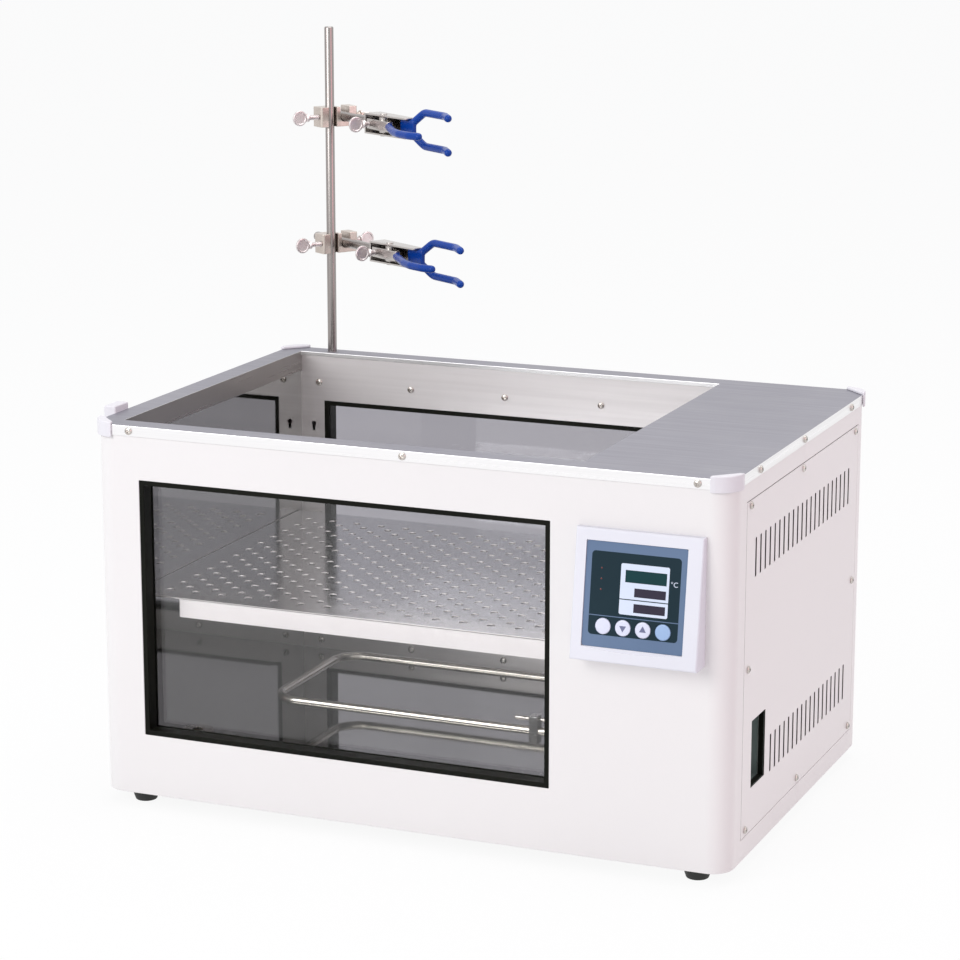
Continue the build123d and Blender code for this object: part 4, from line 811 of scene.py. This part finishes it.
def pan_head(shank):
    """A domed head with a cross recess on a plain shank, its seat at z = 0."""
    dome_rise = SCREW_HEAD_H - SCREW_HEAD_EDGE
    angles = [math.radians(90 * i / DOME_STEPS) for i in range(DOME_STEPS)]
    dome = [(SCREW_HEAD_R * math.cos(a), SCREW_HEAD_EDGE + dome_rise * math.sin(a)) for a in angles]
    bolt = [(0.0, -shank), (SCREW_SHANK_R, -shank), (SCREW_SHANK_R, 0.0), (SCREW_HEAD_R - 0.2, 0.0)]
    head = turned([*bolt, *dome, (0.0, SCREW_HEAD_H)], 28)
    for turn in (0.0, math.pi / 2):
        arm = plate(CROSS_LONG, CROSS_WIDE, 0.0, 2.0)
        bmesh.ops.translate(arm, vec=(0, 0, CROSS_FLOOR), verts=arm.verts)
        bmesh.ops.rotate(arm, cent=(0, 0, 0), matrix=Matrix.Rotation(turn, 3, "Z"), verts=arm.verts)
        head = carved(head, arm)
    return head


def screw_set(node_name):
    """Pan-head screws in the places of a node's solids; those of the windows point into the tank."""
    places = islands(node_name)
    left, right = (corner.x for corner in span(node_name))
    inward = node_name == "window_screws"
    axes = [0 if not inward and (low.x < left + 1 or high.x > right - 1) else 1 for low, high in places]
    first_low, first_high = places[0]
    one = pan_head((first_high - first_low)[axes[0]] - SCREW_HEAD_H)
    body_middle = (0.0, (FRONT_Y + REAR_Y) / 2)
    heads = bmesh.new()
    for index, ((low, high), axis) in enumerate(zip(places, axes)):
        seat = (low + high) / 2
        away = 1.0 if seat[axis] > body_middle[axis] else -1.0
        outward = Vector((0, 0, 0))
        outward[axis] = -away if inward else away
        seat[axis] = (high if outward[axis] > 0 else low)[axis] - outward[axis] * SCREW_HEAD_H
        add_to(heads, one, aim(seat, outward, index * CROSS_TURN), again=True)
    one.free()
    return stand_in(node_name, heads, "nickel_plate", "nickel", sharp=32)


for name in ("rim_screws", "window_screws", "cover_screws"):
    made = screw_set(name)
    print(made.name, len(made.data.polygons), "faces")

# %% [markdown]
# ## Perforated shelf
# The shelf is a steel plate with staggered rows of round holes and a turned-down edge front and back. Cutting
# some three hundred holes with Booleans would be slow. The outline and all the circles are filled in one step
# instead, so each hole costs fourteen edges, and one extrusion gives the sheet.

# %% Shelf
HOLE_PITCH, HOLE_RADIUS, FIRST_HOLE_X, FIRST_HOLE_Y = 26.4, 3.6, 25.4, 23.5
SHELF_SHEET, FLANGE_DROP, FLANGE_CORNER, FLANGE_GAP = 1.2, 18.0, 0.8, 0.4
FLANGE_SHORT_LEFT, FLANGE_SHORT_RIGHT = 47.0, 23.5
low, high = span("shelf")
bm = bmesh.new()
outline(bm, [(low.x, low.y), (high.x, low.y), (high.x, high.y), (low.x, high.y)], high.z)
for shift, columns, rows in ((0.0, 15, 12), (HOLE_PITCH / 2, 14, 11)):
    for column in range(columns):
        for row in range(rows):
            hole_x = low.x + (FIRST_HOLE_X + shift) + column * HOLE_PITCH
            hole_y = low.y + (FIRST_HOLE_Y + shift) + row * HOLE_PITCH
            spot = Matrix.Translation((hole_x, hole_y, high.z))
            bmesh.ops.create_circle(bm, segments=14, radius=HOLE_RADIUS, matrix=spot)
filled(bm, -SHELF_SHEET)
flange_long = high.x - low.x - FLANGE_SHORT_LEFT - FLANGE_SHORT_RIGHT
flange_high = FLANGE_DROP - FLANGE_GAP
flange_x = (low.x + FLANGE_SHORT_LEFT + high.x - FLANGE_SHORT_RIGHT) / 2
for edge_y in (low.y + SHELF_SHEET / 2, high.y - SHELF_SHEET / 2):
    turned_down = plate(flange_long, flange_high, FLANGE_CORNER, SHELF_SHEET)
    stand = Matrix.Translation((flange_x, edge_y + SHELF_SHEET / 2, high.z - FLANGE_GAP - flange_high / 2))
    add_to(bm, turned_down, stand @ Matrix.Rotation(math.pi / 2, 4, "X"))
bm.normal_update()
# Upright faces, the hole walls and flanges, take the painted highlight
for face in bm.faces:
    face.material_index = 1 if abs(face.normal.z) < 0.5 else 0
shelf = stand_in(
    "shelf", bm, "shelf_steel", "stainless", 0.12, 1, body="shelf", sharp=50, also=("lit_punched_edge",),
)
print("shelf faces", len(shelf.data.polygons))

# %% [markdown]
# ## Heater, sensor and drain
# The heater is a bent tube. A curve with a bevel would also do, but extruding a circle along the straights
# and spinning it round the corners leaves clean rings where the grain can follow the metal.

# %% Heater, probe and clip
HEATER_R, HEATER_BEND, PROBE_R = 4.0, 26.0, 2.0
low, high = span("heater")
_, _, level = middle(low, high)
front_leg, rear_leg, bend_x = low.y + HEATER_R, high.y - HEATER_R, low.x + HEATER_R
corners = ((high.x, front_leg), (bend_x, front_leg), (bend_x, rear_leg), (high.x, rear_leg))
heater = tube([(x, y, level) for x, y in corners], HEATER_R, HEATER_BEND, 28, 14, (False, False))
stand_in("heater", heater, "heater_sheath", "heater_steel")
print("heater length along x", round(high.x - bend_x, 1), "mm")
low, high = span("temperature_sensor")
_, probe_y, probe_z = middle(low, high)
probe = tube([(low.x, probe_y, probe_z), (high.x, probe_y, probe_z)], PROBE_R, 0, 20, 1, (True, False))
stand_in("temperature_sensor", probe, "nickel_plate", "heater_steel")
dressed("sensor_clip", "frame_steel", "heater_steel", 0.3, 2)
dressed("heater_glands", "brass", "brass", 0.5, 2)

# %% Drain fitting and pipe
DRAIN_R, DRAIN_BEND = 8.0, 11.5
dressed("drain_fitting", "nickel_plate", "nickel", 0.3, 2)
low, high = span("drain_pipe")
drain_x, drain_z, drain_y = middle(low, high)[0], low.z + DRAIN_R, low.y + DRAIN_R
route = [(drain_x, drain_y, high.z), (drain_x, drain_y, drain_z), (drain_x, high.y, drain_z)]
stand_in("drain_pipe", tube(route, DRAIN_R, DRAIN_BEND, 28, 10, (False, False)), "brass", "brass", 0.4, 2)
print("drain at", round(drain_x, 1), round(drain_z, 1))

# %% Drain cap, with finger grooves pressed into every second face of its side
CAP_WALL, CAP_END, CAP_SIDES, GROOVE = 3.9, 4.6, 48, 0.6
low, high = span("drain_cap")
cap_r, cap_long = (high.x - low.x) / 2, high.y - low.y
inner_r, inner_long = cap_r - CAP_WALL, cap_long - CAP_END
cap = turned([
    (inner_r, 0.0), (cap_r - 1.0, 0.0), (cap_r, 1.0), (cap_r, cap_long - 2.0), (cap_r - 2.0, cap_long),
    (0.0, cap_long), (0.0, inner_long), (inner_r, inner_long), (inner_r, 0.0),
], CAP_SIDES)
grooves = []
for face in cap.faces:
    centre = face.calc_center_median()
    on_side = abs(face.normal.z) < 0.1 and centre.xy.length > cap_r - 0.6
    place_round = round(math.degrees(math.atan2(centre.y, centre.x)) / (360 / CAP_SIDES))
    if on_side and place_round % 2:
        grooves.append(face)
bmesh.ops.inset_individual(cap, faces=grooves, thickness=GROOVE / 2, depth=-GROOVE)
cap_place = Matrix.Translation((drain_x, low.y, drain_z)) @ Matrix.Rotation(-math.pi / 2, 4, "X")
stand_in("drain_cap", moved(cap, cap_place), "lever_plastic", "black_plastic", 0.25, 2, body="drain_cap")
print("cap grooves:", len(grooves))

# %% [markdown]
# ## Cord gland, feet and socket
# The feet are turned rubber cones with a moulded ring, so a spun profile makes them.

# %% Gland, feet and socket
NUT_R, NUT_H, DOME_H, BORE, SHANK, SHANK_R = 12.8, 5.0, 9.0, 4.5, 9.0, 9.9
gland_x, _, gland_z = middle(*span("cord_gland"))
dome = turned([
    (BORE, -SHANK), (SHANK_R, -SHANK), (SHANK_R, 0.0), (SHANK_R, 0.2), (9.4, NUT_H), (8.5, NUT_H + 0.2),
    (8.4, NUT_H + 5.0), (7.2, NUT_H + 8.0), (5.8, NUT_H + DOME_H - 0.1), (BORE, NUT_H + DOME_H - 0.4),
    (BORE, -SHANK),
], 40)
facing_back = aim((gland_x, REAR_Y, gland_z), (0, 1, 0))
gland = moved(prism(6, NUT_R, NUT_H), facing_back)
add_to(gland, dome, facing_back)
stand_in("cord_gland", gland, "lever_plastic", "black_plastic", 0.4, 2)

foot = turned([
    (0.0, 0.0), (9.2, 0.0), (9.9, 0.5), (10.4, 2.0), (13.2, 10.6), (13.9, 11.4), (13.9, 12.0), (0.0, 12.0),
], 40)
feet = bmesh.new()
for low, high in islands("rubber_feet"):
    foot_x, foot_y, _ = middle(low, high)
    add_to(feet, foot, Matrix.Translation((foot_x, foot_y, low.z)), again=True)
foot.free()
stand_in("rubber_feet", feet, "foot_rubber", "rubber", 0.3, 2)
dressed("rod_socket", "brass", "brass", 0.3, 2)
print("feet:", len(islands("rubber_feet")))

# %% [markdown]
# ## Things inside
# The board, the breaker, the terminal block and the relay are hidden by the shells from most sides, but the
# breaker is seen through its slot. They are CAD forms with softened edges and their own finishes. Between the
# breaker's housing and the cover lies a thin steel lip, and behind it a black ring that is painted shade in
# the depth of the slot.

# %% Electrical parts
dressed("control_board", "circuit_green", "circuit", 0.2, 1)
dressed("breaker_body", "breaker_plastic", "grey_plastic", 0.4, 2)
dressed("breaker_lever", "lever_plastic", "black_plastic", 0.7, 3, body="breaker_lever")
dressed("terminal_block", "breaker_plastic", "grey_plastic", 0.4, 2)
dressed("relay", "heat_sink", "heat_sink", 0.3, 1)

# %% Ring of painted shade and steel lip in the breaker's slot: how deep each starts behind the cover, and how thick it is
BREAKER_SHROUD, RING_WALL, CUT_THROUGH = 3.0, 0.5, 1.0
SHADE_RING, LIP = (6.0, 4.6), (6.7, 0.7)
low, high = span("breaker_body")
_, slot_y, slot_z = middle(low, high)
slot_width, slot_height = (high - low).y - 2 * BREAKER_SHROUD, (high - low).z - 2 * BREAKER_SHROUD
along_x = Matrix(((0, 0, 1, 0), (1, 0, 0, slot_y), (0, 1, 0, slot_z), (0, 0, 0, 1)))
for name, material, slot, (deep, thick) in (
    # A black ring that darkens the slot's depth: painted shade
    ("breaker_slot_seal", "seal_rubber", "rubber", SHADE_RING),
    ("breaker_slot_lip", "frame_steel", "stainless", LIP),
):
    opening = plate(slot_width - 2 * RING_WALL, slot_height - 2 * RING_WALL, 0.0, thick + 2 * CUT_THROUGH)
    bmesh.ops.translate(opening, vec=(0, 0, -CUT_THROUGH), verts=opening.verts)
    ring = carved(plate(slot_width, slot_height, 0.0, thick), opening)
    bmesh.ops.transform(ring, matrix=Matrix.Translation((RIGHT_X - deep, 0, 0)) @ along_x, verts=ring.verts)
    make_piece(name, ring, material, slot)
print("slot of the breaker", round(slot_width, 1), "by", round(slot_height, 1), "mm")

# %% [markdown]
# ## Control panel
# A moulded housing stands out from the front with its face leaning back. In its recess lies a printed film
# with a dark field, a pale block round three small displays, and four round keys. The print is built as thin
# plates on the film, so each ink has its own gloss. All of it is placed in the plane of the face.

# %% The plane of the panel's face
FACE_LEAN, FACE_HIGH, FACE_RIGHT, FACE_PROUD = 16.0, 111.5, 56.5, 14.0
FACE_TILT = math.atan(FACE_LEAN / FACE_HIGH)
low, high = span("control_bezel")
FACE_POINT = Vector((low.x + FACE_RIGHT, FRONT_Y - FACE_PROUD, middle(low, high)[2]))
FACE_X = Vector((1, 0, 0))
FACE_OUT = Vector((0, -math.cos(FACE_TILT), math.sin(FACE_TILT)))
FACE_TURN = Matrix((FACE_X, FACE_OUT.cross(FACE_X), FACE_OUT)).transposed().to_4x4()
FACE = Matrix.Translation(FACE_POINT) @ FACE_TURN
RECESS_X, RECESS_Y, RECESS_W, RECESS_H, RECESS_DEEP = -1.7, 1.3, 89.6, 89.5, 2.6
BUTTON_R, BUTTON_PITCH, BUTTON_DROP, BUTTON_GAP = 6.9, 17.65, 26.7, 0.25
DISPLAYS = (((9.2, 17.3), (36.5, 10.4)), ((13.4, 4.0), (27.8, 7.4)), ((13.4, -9.1), (27.8, 7.4)))
KEYS = [(BUTTON_PITCH * (i - 1.5), -BUTTON_DROP) for i in range(4)]


def on_face(right, up, out):
    """The matrix of a place on the panel, measured from the recess's middle."""
    return FACE @ Matrix.Translation((RECESS_X + right, RECESS_Y + up, out))


def with_openings(size, corner, thickness, centre=(0.0, 0.0), round_keys=True):
    """A plate about a point of the recess, open over the displays and round the keys."""
    blank = plate(*size, corner, thickness)
    flat = bmesh.new()
    outline(flat, [v.co.xy for f in blank.faces if f.normal.z > 0.9 for v in f.verts])
    blank.free()
    corners = ((-1, -1), (1, -1), (1, 1), (-1, 1))
    for (x, y), (w, h) in DISPLAYS:
        outline(flat, [(x - centre[0] + sx * w / 2, y - centre[1] + sy * h / 2) for sx, sy in corners])
    for x, y in KEYS if round_keys else ():
        spot = Matrix.Translation((x - centre[0], y - centre[1], 0))
        bmesh.ops.create_circle(flat, segments=40, radius=BUTTON_R + BUTTON_GAP, matrix=spot)
    return filled(flat, thickness)


print("face middle", [round(c, 1) for c in FACE_POINT])

# %% Housing and film
FILM_SHEET, FILM_GAP, FILM_CORNER = 1.5, 0.4, 2.5
dressed("control_bezel", "bezel_plastic", "bezel_plastic", 1.0, 4)
film = with_openings((RECESS_W - FILM_GAP, RECESS_H - FILM_GAP), FILM_CORNER, FILM_SHEET)
stand_in("control_panel", moved(film, on_face(0, 0, -RECESS_DEEP)), "panel_slate", "panel_film")

# %% Printed fields of the film, each as its middle and size
INK, INK_FROM = 0.06, -RECESS_DEEP + FILM_SHEET
DARK, DARK_SIZE, DARK_CORNER = (0.0, 1.0), (79.0, 70.6), 3.2
BLOCK, BLOCK_SIZE, BLOCK_CORNER = (8.2, 6.35), (42.8, 42.9), 1.6
LINE_UP, LINE_WIDE, DIVIDER_UP, DIVIDER_WIDE = -17.9, 0.7, -2.3, 0.8
LAMPS_RIGHT, LAMPS_UP = -30.2, (22.1, 13.1, 4.1)
LAMP_PROFILE = [(0.0, 0.0), (0.8, 0.0), (0.7, 0.2), (0.4, 0.32), (0.0, 0.36)]


def printed(name, part, material, right, up, layer):
    """Lay a plate of ink on the film, on top of the layers below it."""
    return make_piece(name, moved(part, on_face(right, up, INK_FROM + layer * INK)), material, "panel_film")


dark = with_openings(DARK_SIZE, DARK_CORNER, INK, DARK)
printed("panel_dark_field", dark, "panel_dark", *DARK, 0)
block = with_openings(BLOCK_SIZE, BLOCK_CORNER, INK, BLOCK, round_keys=False)
printed("panel_pale_block", block, "panel_pale", *BLOCK, 1)
printed("panel_line", plate(DARK_SIZE[0], LINE_WIDE, 0.0, INK), "panel_slate", 0, LINE_UP, 1)
printed("panel_divider", plate(BLOCK_SIZE[0], DIVIDER_WIDE, 0.0, INK), "panel_dark", BLOCK[0], DIVIDER_UP, 2)
small_lamps = bmesh.new()
for up in LAMPS_UP:
    add_to(small_lamps, turned(LAMP_PROFILE, 16), on_face(LAMPS_RIGHT, up, INK_FROM + INK))
make_piece("panel_lamps", small_lamps, "lamp_red", "display")

# %% Unit mark: generic text, made a mesh and laid on the panel
MARK_SIZE, MARK_THICK, MARK_PLACE = 6.0, 0.05, (34.2, 13.8, INK_FROM + 0.08)
curve = bpy.data.curves.new("unit_mark_text", "FONT")
curve.body = "°C"
curve.size = MARK_SIZE
curve.extrude = MARK_THICK / 2
curve.align_x = "CENTER"
curve.align_y = "CENTER"
letters = applied(new_object("unit_mark_text", curve))
bmesh.ops.remove_doubles(letters, verts=letters.verts, dist=0.001)
make_piece("unit_mark", moved(letters, on_face(*MARK_PLACE)), "panel_pale", "panel_film", sharp=50)

# %% Display windows, the large one teal and the small ones purple
DISPLAY_GAP, DISPLAY_THICK = 0.1, 1.2
for name, material, places in (
    ("display_windows_finished", "display_teal", DISPLAYS[:1]),
    ("small_displays", "display_purple", DISPLAYS[1:]),
):
    panes = bmesh.new()
    for (x, y), (w, h) in places:
        pane = plate(w - DISPLAY_GAP, h - DISPLAY_GAP, 0.0, DISPLAY_THICK)
        add_to(panes, pane, on_face(x, y, -RECESS_DEEP))
    make_piece(name, panes, material, "display", replaces=("display_windows",))
print("displays:", len(DISPLAYS))

# %% [markdown]
# ### Keys
# The keys are short stems with a soft rounded cap. Two of them carry a triangle for down and up. The print
# rides on its key, so it travels when the key is pressed.

# %% Keys
KEY_TOP, KEY_SKIRT, ARROW_R, ARROW_SHEET, ARROW_SUNK = 2.0, 1.2, 3.5, 0.1, 0.12
ARROW_TURNS = {2: math.pi, 3: 0.0}
KEY_PROFILE = [
    (0.0, -KEY_SKIRT), (BUTTON_R + 1.0, -KEY_SKIRT), (BUTTON_R + 1.0, 0.0), (BUTTON_R - 0.1, 0.05),
    (BUTTON_R - 0.1, KEY_TOP - 0.7), (BUTTON_R - 0.25, KEY_TOP - 0.3), (BUTTON_R - 0.7, KEY_TOP - 0.08),
    (BUTTON_R - 1.4, KEY_TOP), (0.0, KEY_TOP - 0.15),
]
for number, (x, y) in enumerate(KEYS, start=1):
    name = f"button_{number}"
    place_key = on_face(x, y, -RECESS_DEEP)
    key = moved(turned(KEY_PROFILE, 56), place_key)
    finish = "button_blue" if number == 4 else "button_lavender"
    stand_in(name, key, finish, "button_plastic", body=name, sharp=50)
    if number in ARROW_TURNS:
        arrow = prism(3, ARROW_R, ARROW_SHEET)
        turn = Matrix.Rotation(ARROW_TURNS[number], 3, "Z")
        bmesh.ops.rotate(arrow, cent=(0, 0, 0), matrix=turn, verts=arrow.verts)
        lay = place_key @ Matrix.Translation((0, 0, KEY_TOP - ARROW_SUNK))
        make_piece(name + "_arrow", moved(arrow, lay), "symbol_ink", "button_plastic", name)
print("keys:", len(KEYS))

# %% [markdown]
# ## Stand rod
# A ground steel bar: a long spun profile with a small round at its end.

# %% Stand rod
ROD_R, CLAMP_ROD_R, CLAMP_OFFSET = 4.5, 4.75, 13.5
low, high = span("stand_rod")
long = high.z - low.z
rod = turned([
    (0.0, 0.0), (ROD_R, 0.0), (ROD_R, long - 1.2), (ROD_R - 0.3, long - 0.5), (ROD_R - 1.0, long),
    (0.0, long),
], 56)
placed_rod = moved(rod, Matrix.Translation((ROD_X, ROD_Y, low.z)))
stand_in("stand_rod", placed_rod, "rod_steel", "stainless", body="stand_rod")
print("rod length", round(long, 1), "mm")

# %% [markdown]
# ## Winged screws
# A die-cast thumb screw has a dished round wing with a raised rim, a collar and a threaded shank. The wing is
# a disc that is inset and pressed in on both sides. The thread is a row of rings, which at this size reads
# the same as a true helix and closes without a seam.

# %% The winged screw, tip at the origin and wing along Z
SCREW_R, COLLAR_R, COLLAR_H, THREAD_PITCH = 2.5, 4.2, 3.0, 0.8
ROOT_R, CREST_R = SCREW_R * 0.82, SCREW_R * 0.985
WING_R, WING_T, WING_SINK, WING_ROUND, WING_RIM, WING_WALL, WING_DISH = 7.6, 2.6, 1.0, 0.75, 0.9, 0.6, 0.55


def winged_screw(shank, turn):
    """Shank with thread rings, collar and dished wing; turn sets how the wing lies."""
    profile = [(0.0, 0.0), (SCREW_R * 0.72, 0.0), (SCREW_R * 0.8, 0.5)]
    height = 0.9
    while height < shank - 1.0:
        profile += [
            (ROOT_R, height), (CREST_R, height + 0.28), (CREST_R, height + 0.42), (ROOT_R, height + 0.7),
        ]
        height += THREAD_PITCH
    end = shank + COLLAR_H
    profile += [
        (SCREW_R * 0.9, shank - 0.2), (COLLAR_R - 0.7, shank), (COLLAR_R - 0.1, shank + 0.5),
        (COLLAR_R - 0.15, end - 0.9), (COLLAR_R - 1.1, end), (0.0, end),
    ]
    screw = turned(profile, 28)
    wing = prism(44, WING_R - 0.05, WING_T - 0.1)
    bmesh.ops.translate(wing, vec=(0, 0, -WING_T / 2 + 0.05), verts=wing.verts)
    rims = [e for e in wing.edges if e.calc_face_angle(0) > 1.0]
    round_off = {"offset": WING_ROUND, "segments": 4, "profile": 0.5, "material": -1}
    bmesh.ops.bevel(wing, geom=rims, affect="EDGES", **round_off)
    caps = [f for f in wing.faces if abs(f.normal.z) > 0.99]
    bmesh.ops.inset_region(wing, faces=caps, thickness=WING_RIM, depth=0.0)
    for cap in [f for f in wing.faces if abs(f.normal.z) > 0.99 and f.calc_area() > 40]:
        bmesh.ops.inset_region(wing, faces=[cap], thickness=WING_WALL, depth=-WING_DISH)
    upright = Matrix.Rotation(turn, 4, "Z") @ Matrix.Rotation(math.pi / 2, 4, "X")
    return add_to(screw, wing, Matrix.Translation((0, 0, end + WING_R - WING_SINK)) @ upright)


# %% [markdown]
# ## Dipped vinyl
# The forks and the fingers are bent steel bars dipped in blue vinyl, which is thick, has round tips and flows
# over the joints. The bars are made as tubes, and a voxel Remesh melts them together the way the dip does.
# The remesh is applied at once, so the piece is plain mesh.

# %% Melting bars into one dipped form
VOXEL, RELAXINGS = 0.62, 3


def dipped(bars):
    """Join overlapping forms with a voxel remesh and relax the result."""
    bmesh.ops.scale(bars, vec=(MM,) * 3, verts=bars.verts)
    carrier = new_object("bars", mesh_of(bars, "bars"))
    melt = carrier.modifiers.new("melt", "REMESH")
    melt.mode = "VOXEL"
    melt.voxel_size = VOXEL * MM
    melted = applied(carrier)
    all_ways = {"use_axis_x": True, "use_axis_y": True, "use_axis_z": True}
    for _ in range(RELAXINGS):
        bmesh.ops.smooth_vert(melted, verts=melted.verts, factor=0.5, **all_ways)
    bmesh.ops.scale(melted, vec=(1 / MM,) * 3, verts=melted.verts)
    return melted


# %% [markdown]
# ### Building a clamp
# Both clamps are the same product in two places, so one function makes a clamp from its level and its swing.
# The boss head and the channel head are softened CAD forms. The rod, the rivets, the fork and the finger are
# new. Places are measured from the clamp rod's axis, with x along the rod.

# %% Sizes of the clamps
CLAMPS = (("upper", 235.0, 36.0), ("lower", 109.5, 32.0))
HEAD_X, HEAD_HALF, ROD_TAIL, SPIGOT_GAP, PRONG_R = 67.0, 10.0, -50.0, 0.15, 3.7
PIVOT_X, PIVOT_Y, LUG_X, LEVER_HALF = 91.0, -4.0, 76.0, 5.0
FINGER = [(41.0, -8.5), (61.0, -17.5), (83.0, -27.0), (99.0, -30.5), (117.0, -30.0), (131.8, -25.3)]
PRONG = [(134.0, 1.9, 4.2), (147.0, 8.7, 16.0), (185.0, 8.7, 16.0), (206.0, 0.0, 16.0)]
PRONG_BEND, FINGER_BEND = 9.0, 16.0
STRAP_LONG, STRAP_WIDE, STRAP_CORNER, STRAP_THICK, STRAP_PLACE = 24.0, 15.6, 3.0, 4.6, (128.0, -0.4, 0)
SPIGOT = [(0.0, -0.2), (2.95, -0.2), (2.95, 1.9), (3.9, 1.9), (3.7, 2.5), (2.6, 3.0), (0.0, 3.1)]
RIVET = [(0.0, 0.0), (3.6, 0.0), (3.4, 0.45), (2.6, 0.85), (1.4, 1.0), (0.0, 1.0)]
HUB = [(2.3, -7.9), (4.5, -7.9), (4.5, 7.9), (2.3, 7.9), (2.3, -7.9)]
LEVER_END = HEAD_X + FINGER[0][0] + 4
LEVER = [
    (LUG_X - 5, -12), (LUG_X + 5, -12), (LEVER_END, FINGER[0][1] - PRONG_R),
    (LEVER_END, FINGER[0][1] + PRONG_R - 1.2), (PIVOT_X, 0.6), (LUG_X + 5, -5), (LUG_X - 5, -5),
]
UPRIGHT_SHANK, CROSS_SHANK, JAW_SHANK, TIP_GAP, CROSS_X, JAW_Y = 19.0, 16.0, 21.0, 0.3, -2.25, 4.1


# %% Both clamps
def screw_at(name, shank, clamp_place, tip, direction, turn, finish="wing_alloy"):
    """Place a winged screw by its tip and direction in a clamp's frame."""
    screw = moved(winged_screw(shank, turn), clamp_place @ aim(tip, direction))
    return stand_in(name, screw, finish, "nickel", body=name, sharp=40)


def channel_head(node_name, cross):
    """The bent channel of a clamp's head, with a rivet on each cheek."""
    channel, rivet = solid_of(node_name), turned(RIVET, 28)
    for side in (1, -1):
        rivet_place = aim((PIVOT_X, PIVOT_Y, side * (HEAD_HALF - 0.01)), (0, 0, side))
        add_to(channel, rivet, cross @ rivet_place, again=True)
    rivet.free()
    return channel


def dipped_fork():
    """Two prongs on a strap."""
    flat = Matrix.Translation(STRAP_PLACE) @ Matrix.Rotation(-math.pi / 2, 4, "X")
    bars = moved(plate(STRAP_LONG, STRAP_WIDE, STRAP_CORNER, STRAP_THICK), flat)
    for side in (-1, 1):
        add_to(bars, tube([(x, y, side * z) for x, y, z in PRONG], PRONG_R, PRONG_BEND, 20, 6))
    return dipped(bars)


def finger_lever():
    """The steel lever that carries the finger, with its hub."""
    lever = bmesh.new()
    lever.faces.new([lever.verts.new((x, y, -LEVER_HALF)) for x, y in LEVER])
    return add_to(raised(lever, 2 * LEVER_HALF), turned(HUB, 28), Matrix.Translation((PIVOT_X, PIVOT_Y, 0)))


def build_clamp(which, level, swing):
    """Boss head, screws, rod, head, fork, finger and jaw screw of one clamp."""
    rod_place = Matrix.Translation((ROD_X, ROD_Y, RIM_Z + level))
    upright = rod_place @ Matrix.Rotation(-math.radians(swing), 4, "Z")
    cross = upright @ Matrix.Translation((0, CLAMP_OFFSET, 0))
    boss, rod_node, head = "boss_" + which, "clamp_rod_" + which, "clamp_head_" + which
    finger = "finger_" + which
    dressed(boss, "cast_boss", "nickel", 0.8, 3, body=boss)
    bar = tube([(ROD_TAIL, 0, 0), (HEAD_X - SPIGOT_GAP, 0, 0)], CLAMP_ROD_R, 0, 40, 1, (True, False))
    clamp_rod = moved(bar, cross)
    add_to(clamp_rod, turned(SPIGOT, 24), cross @ aim((HEAD_X, 0, 0), (1, 0, 0)))
    stand_in(rod_node, clamp_rod, "rod_steel", "stainless", body=rod_node, sharp=40)
    stand_in(head, channel_head(head, cross), "clamp_head_steel", "stainless", 0.5, 3, body=head)
    stand_in("fork_" + which, moved(dipped_fork(), cross), "dipped_vinyl", "vinyl", body=head, sharp=80)
    finger_bar = tube([(HEAD_X + x, y, 0) for x, y in FINGER], PRONG_R, FINGER_BEND, 20, 5)
    stand_in(finger, moved(dipped(finger_bar), cross), "dipped_vinyl", "vinyl", body=finger, sharp=80)
    make_piece(
        "finger_lever_" + which, moved(finger_lever(), cross), "clamp_head_steel", "stainless",
        finger, (finger,), 0.6, 2,
    )
    lie, cross_finish = (0.0, "cast_boss") if which == "upper" else (math.pi / 2, "wing_alloy")
    upright_tip = (0, -ROD_R - TIP_GAP, 0)
    cross_tip = (CROSS_X, CLAMP_OFFSET + CLAMP_ROD_R + TIP_GAP, 0)
    screw_at("upright_screw_" + which, UPRIGHT_SHANK, upright, upright_tip, (0, -1, 0), math.pi / 2)
    screw_at("cross_screw_" + which, CROSS_SHANK, upright, cross_tip, (0, 1, 0), lie, cross_finish)
    screw_at("jaw_screw_" + which, JAW_SHANK, cross, (LUG_X, JAW_Y, 0), (0, -1, 0), math.pi / 2)


for which, level, swing in CLAMPS:
    build_clamp(which, level, swing)
    print("clamp", which, "at", level, "mm above the rim")
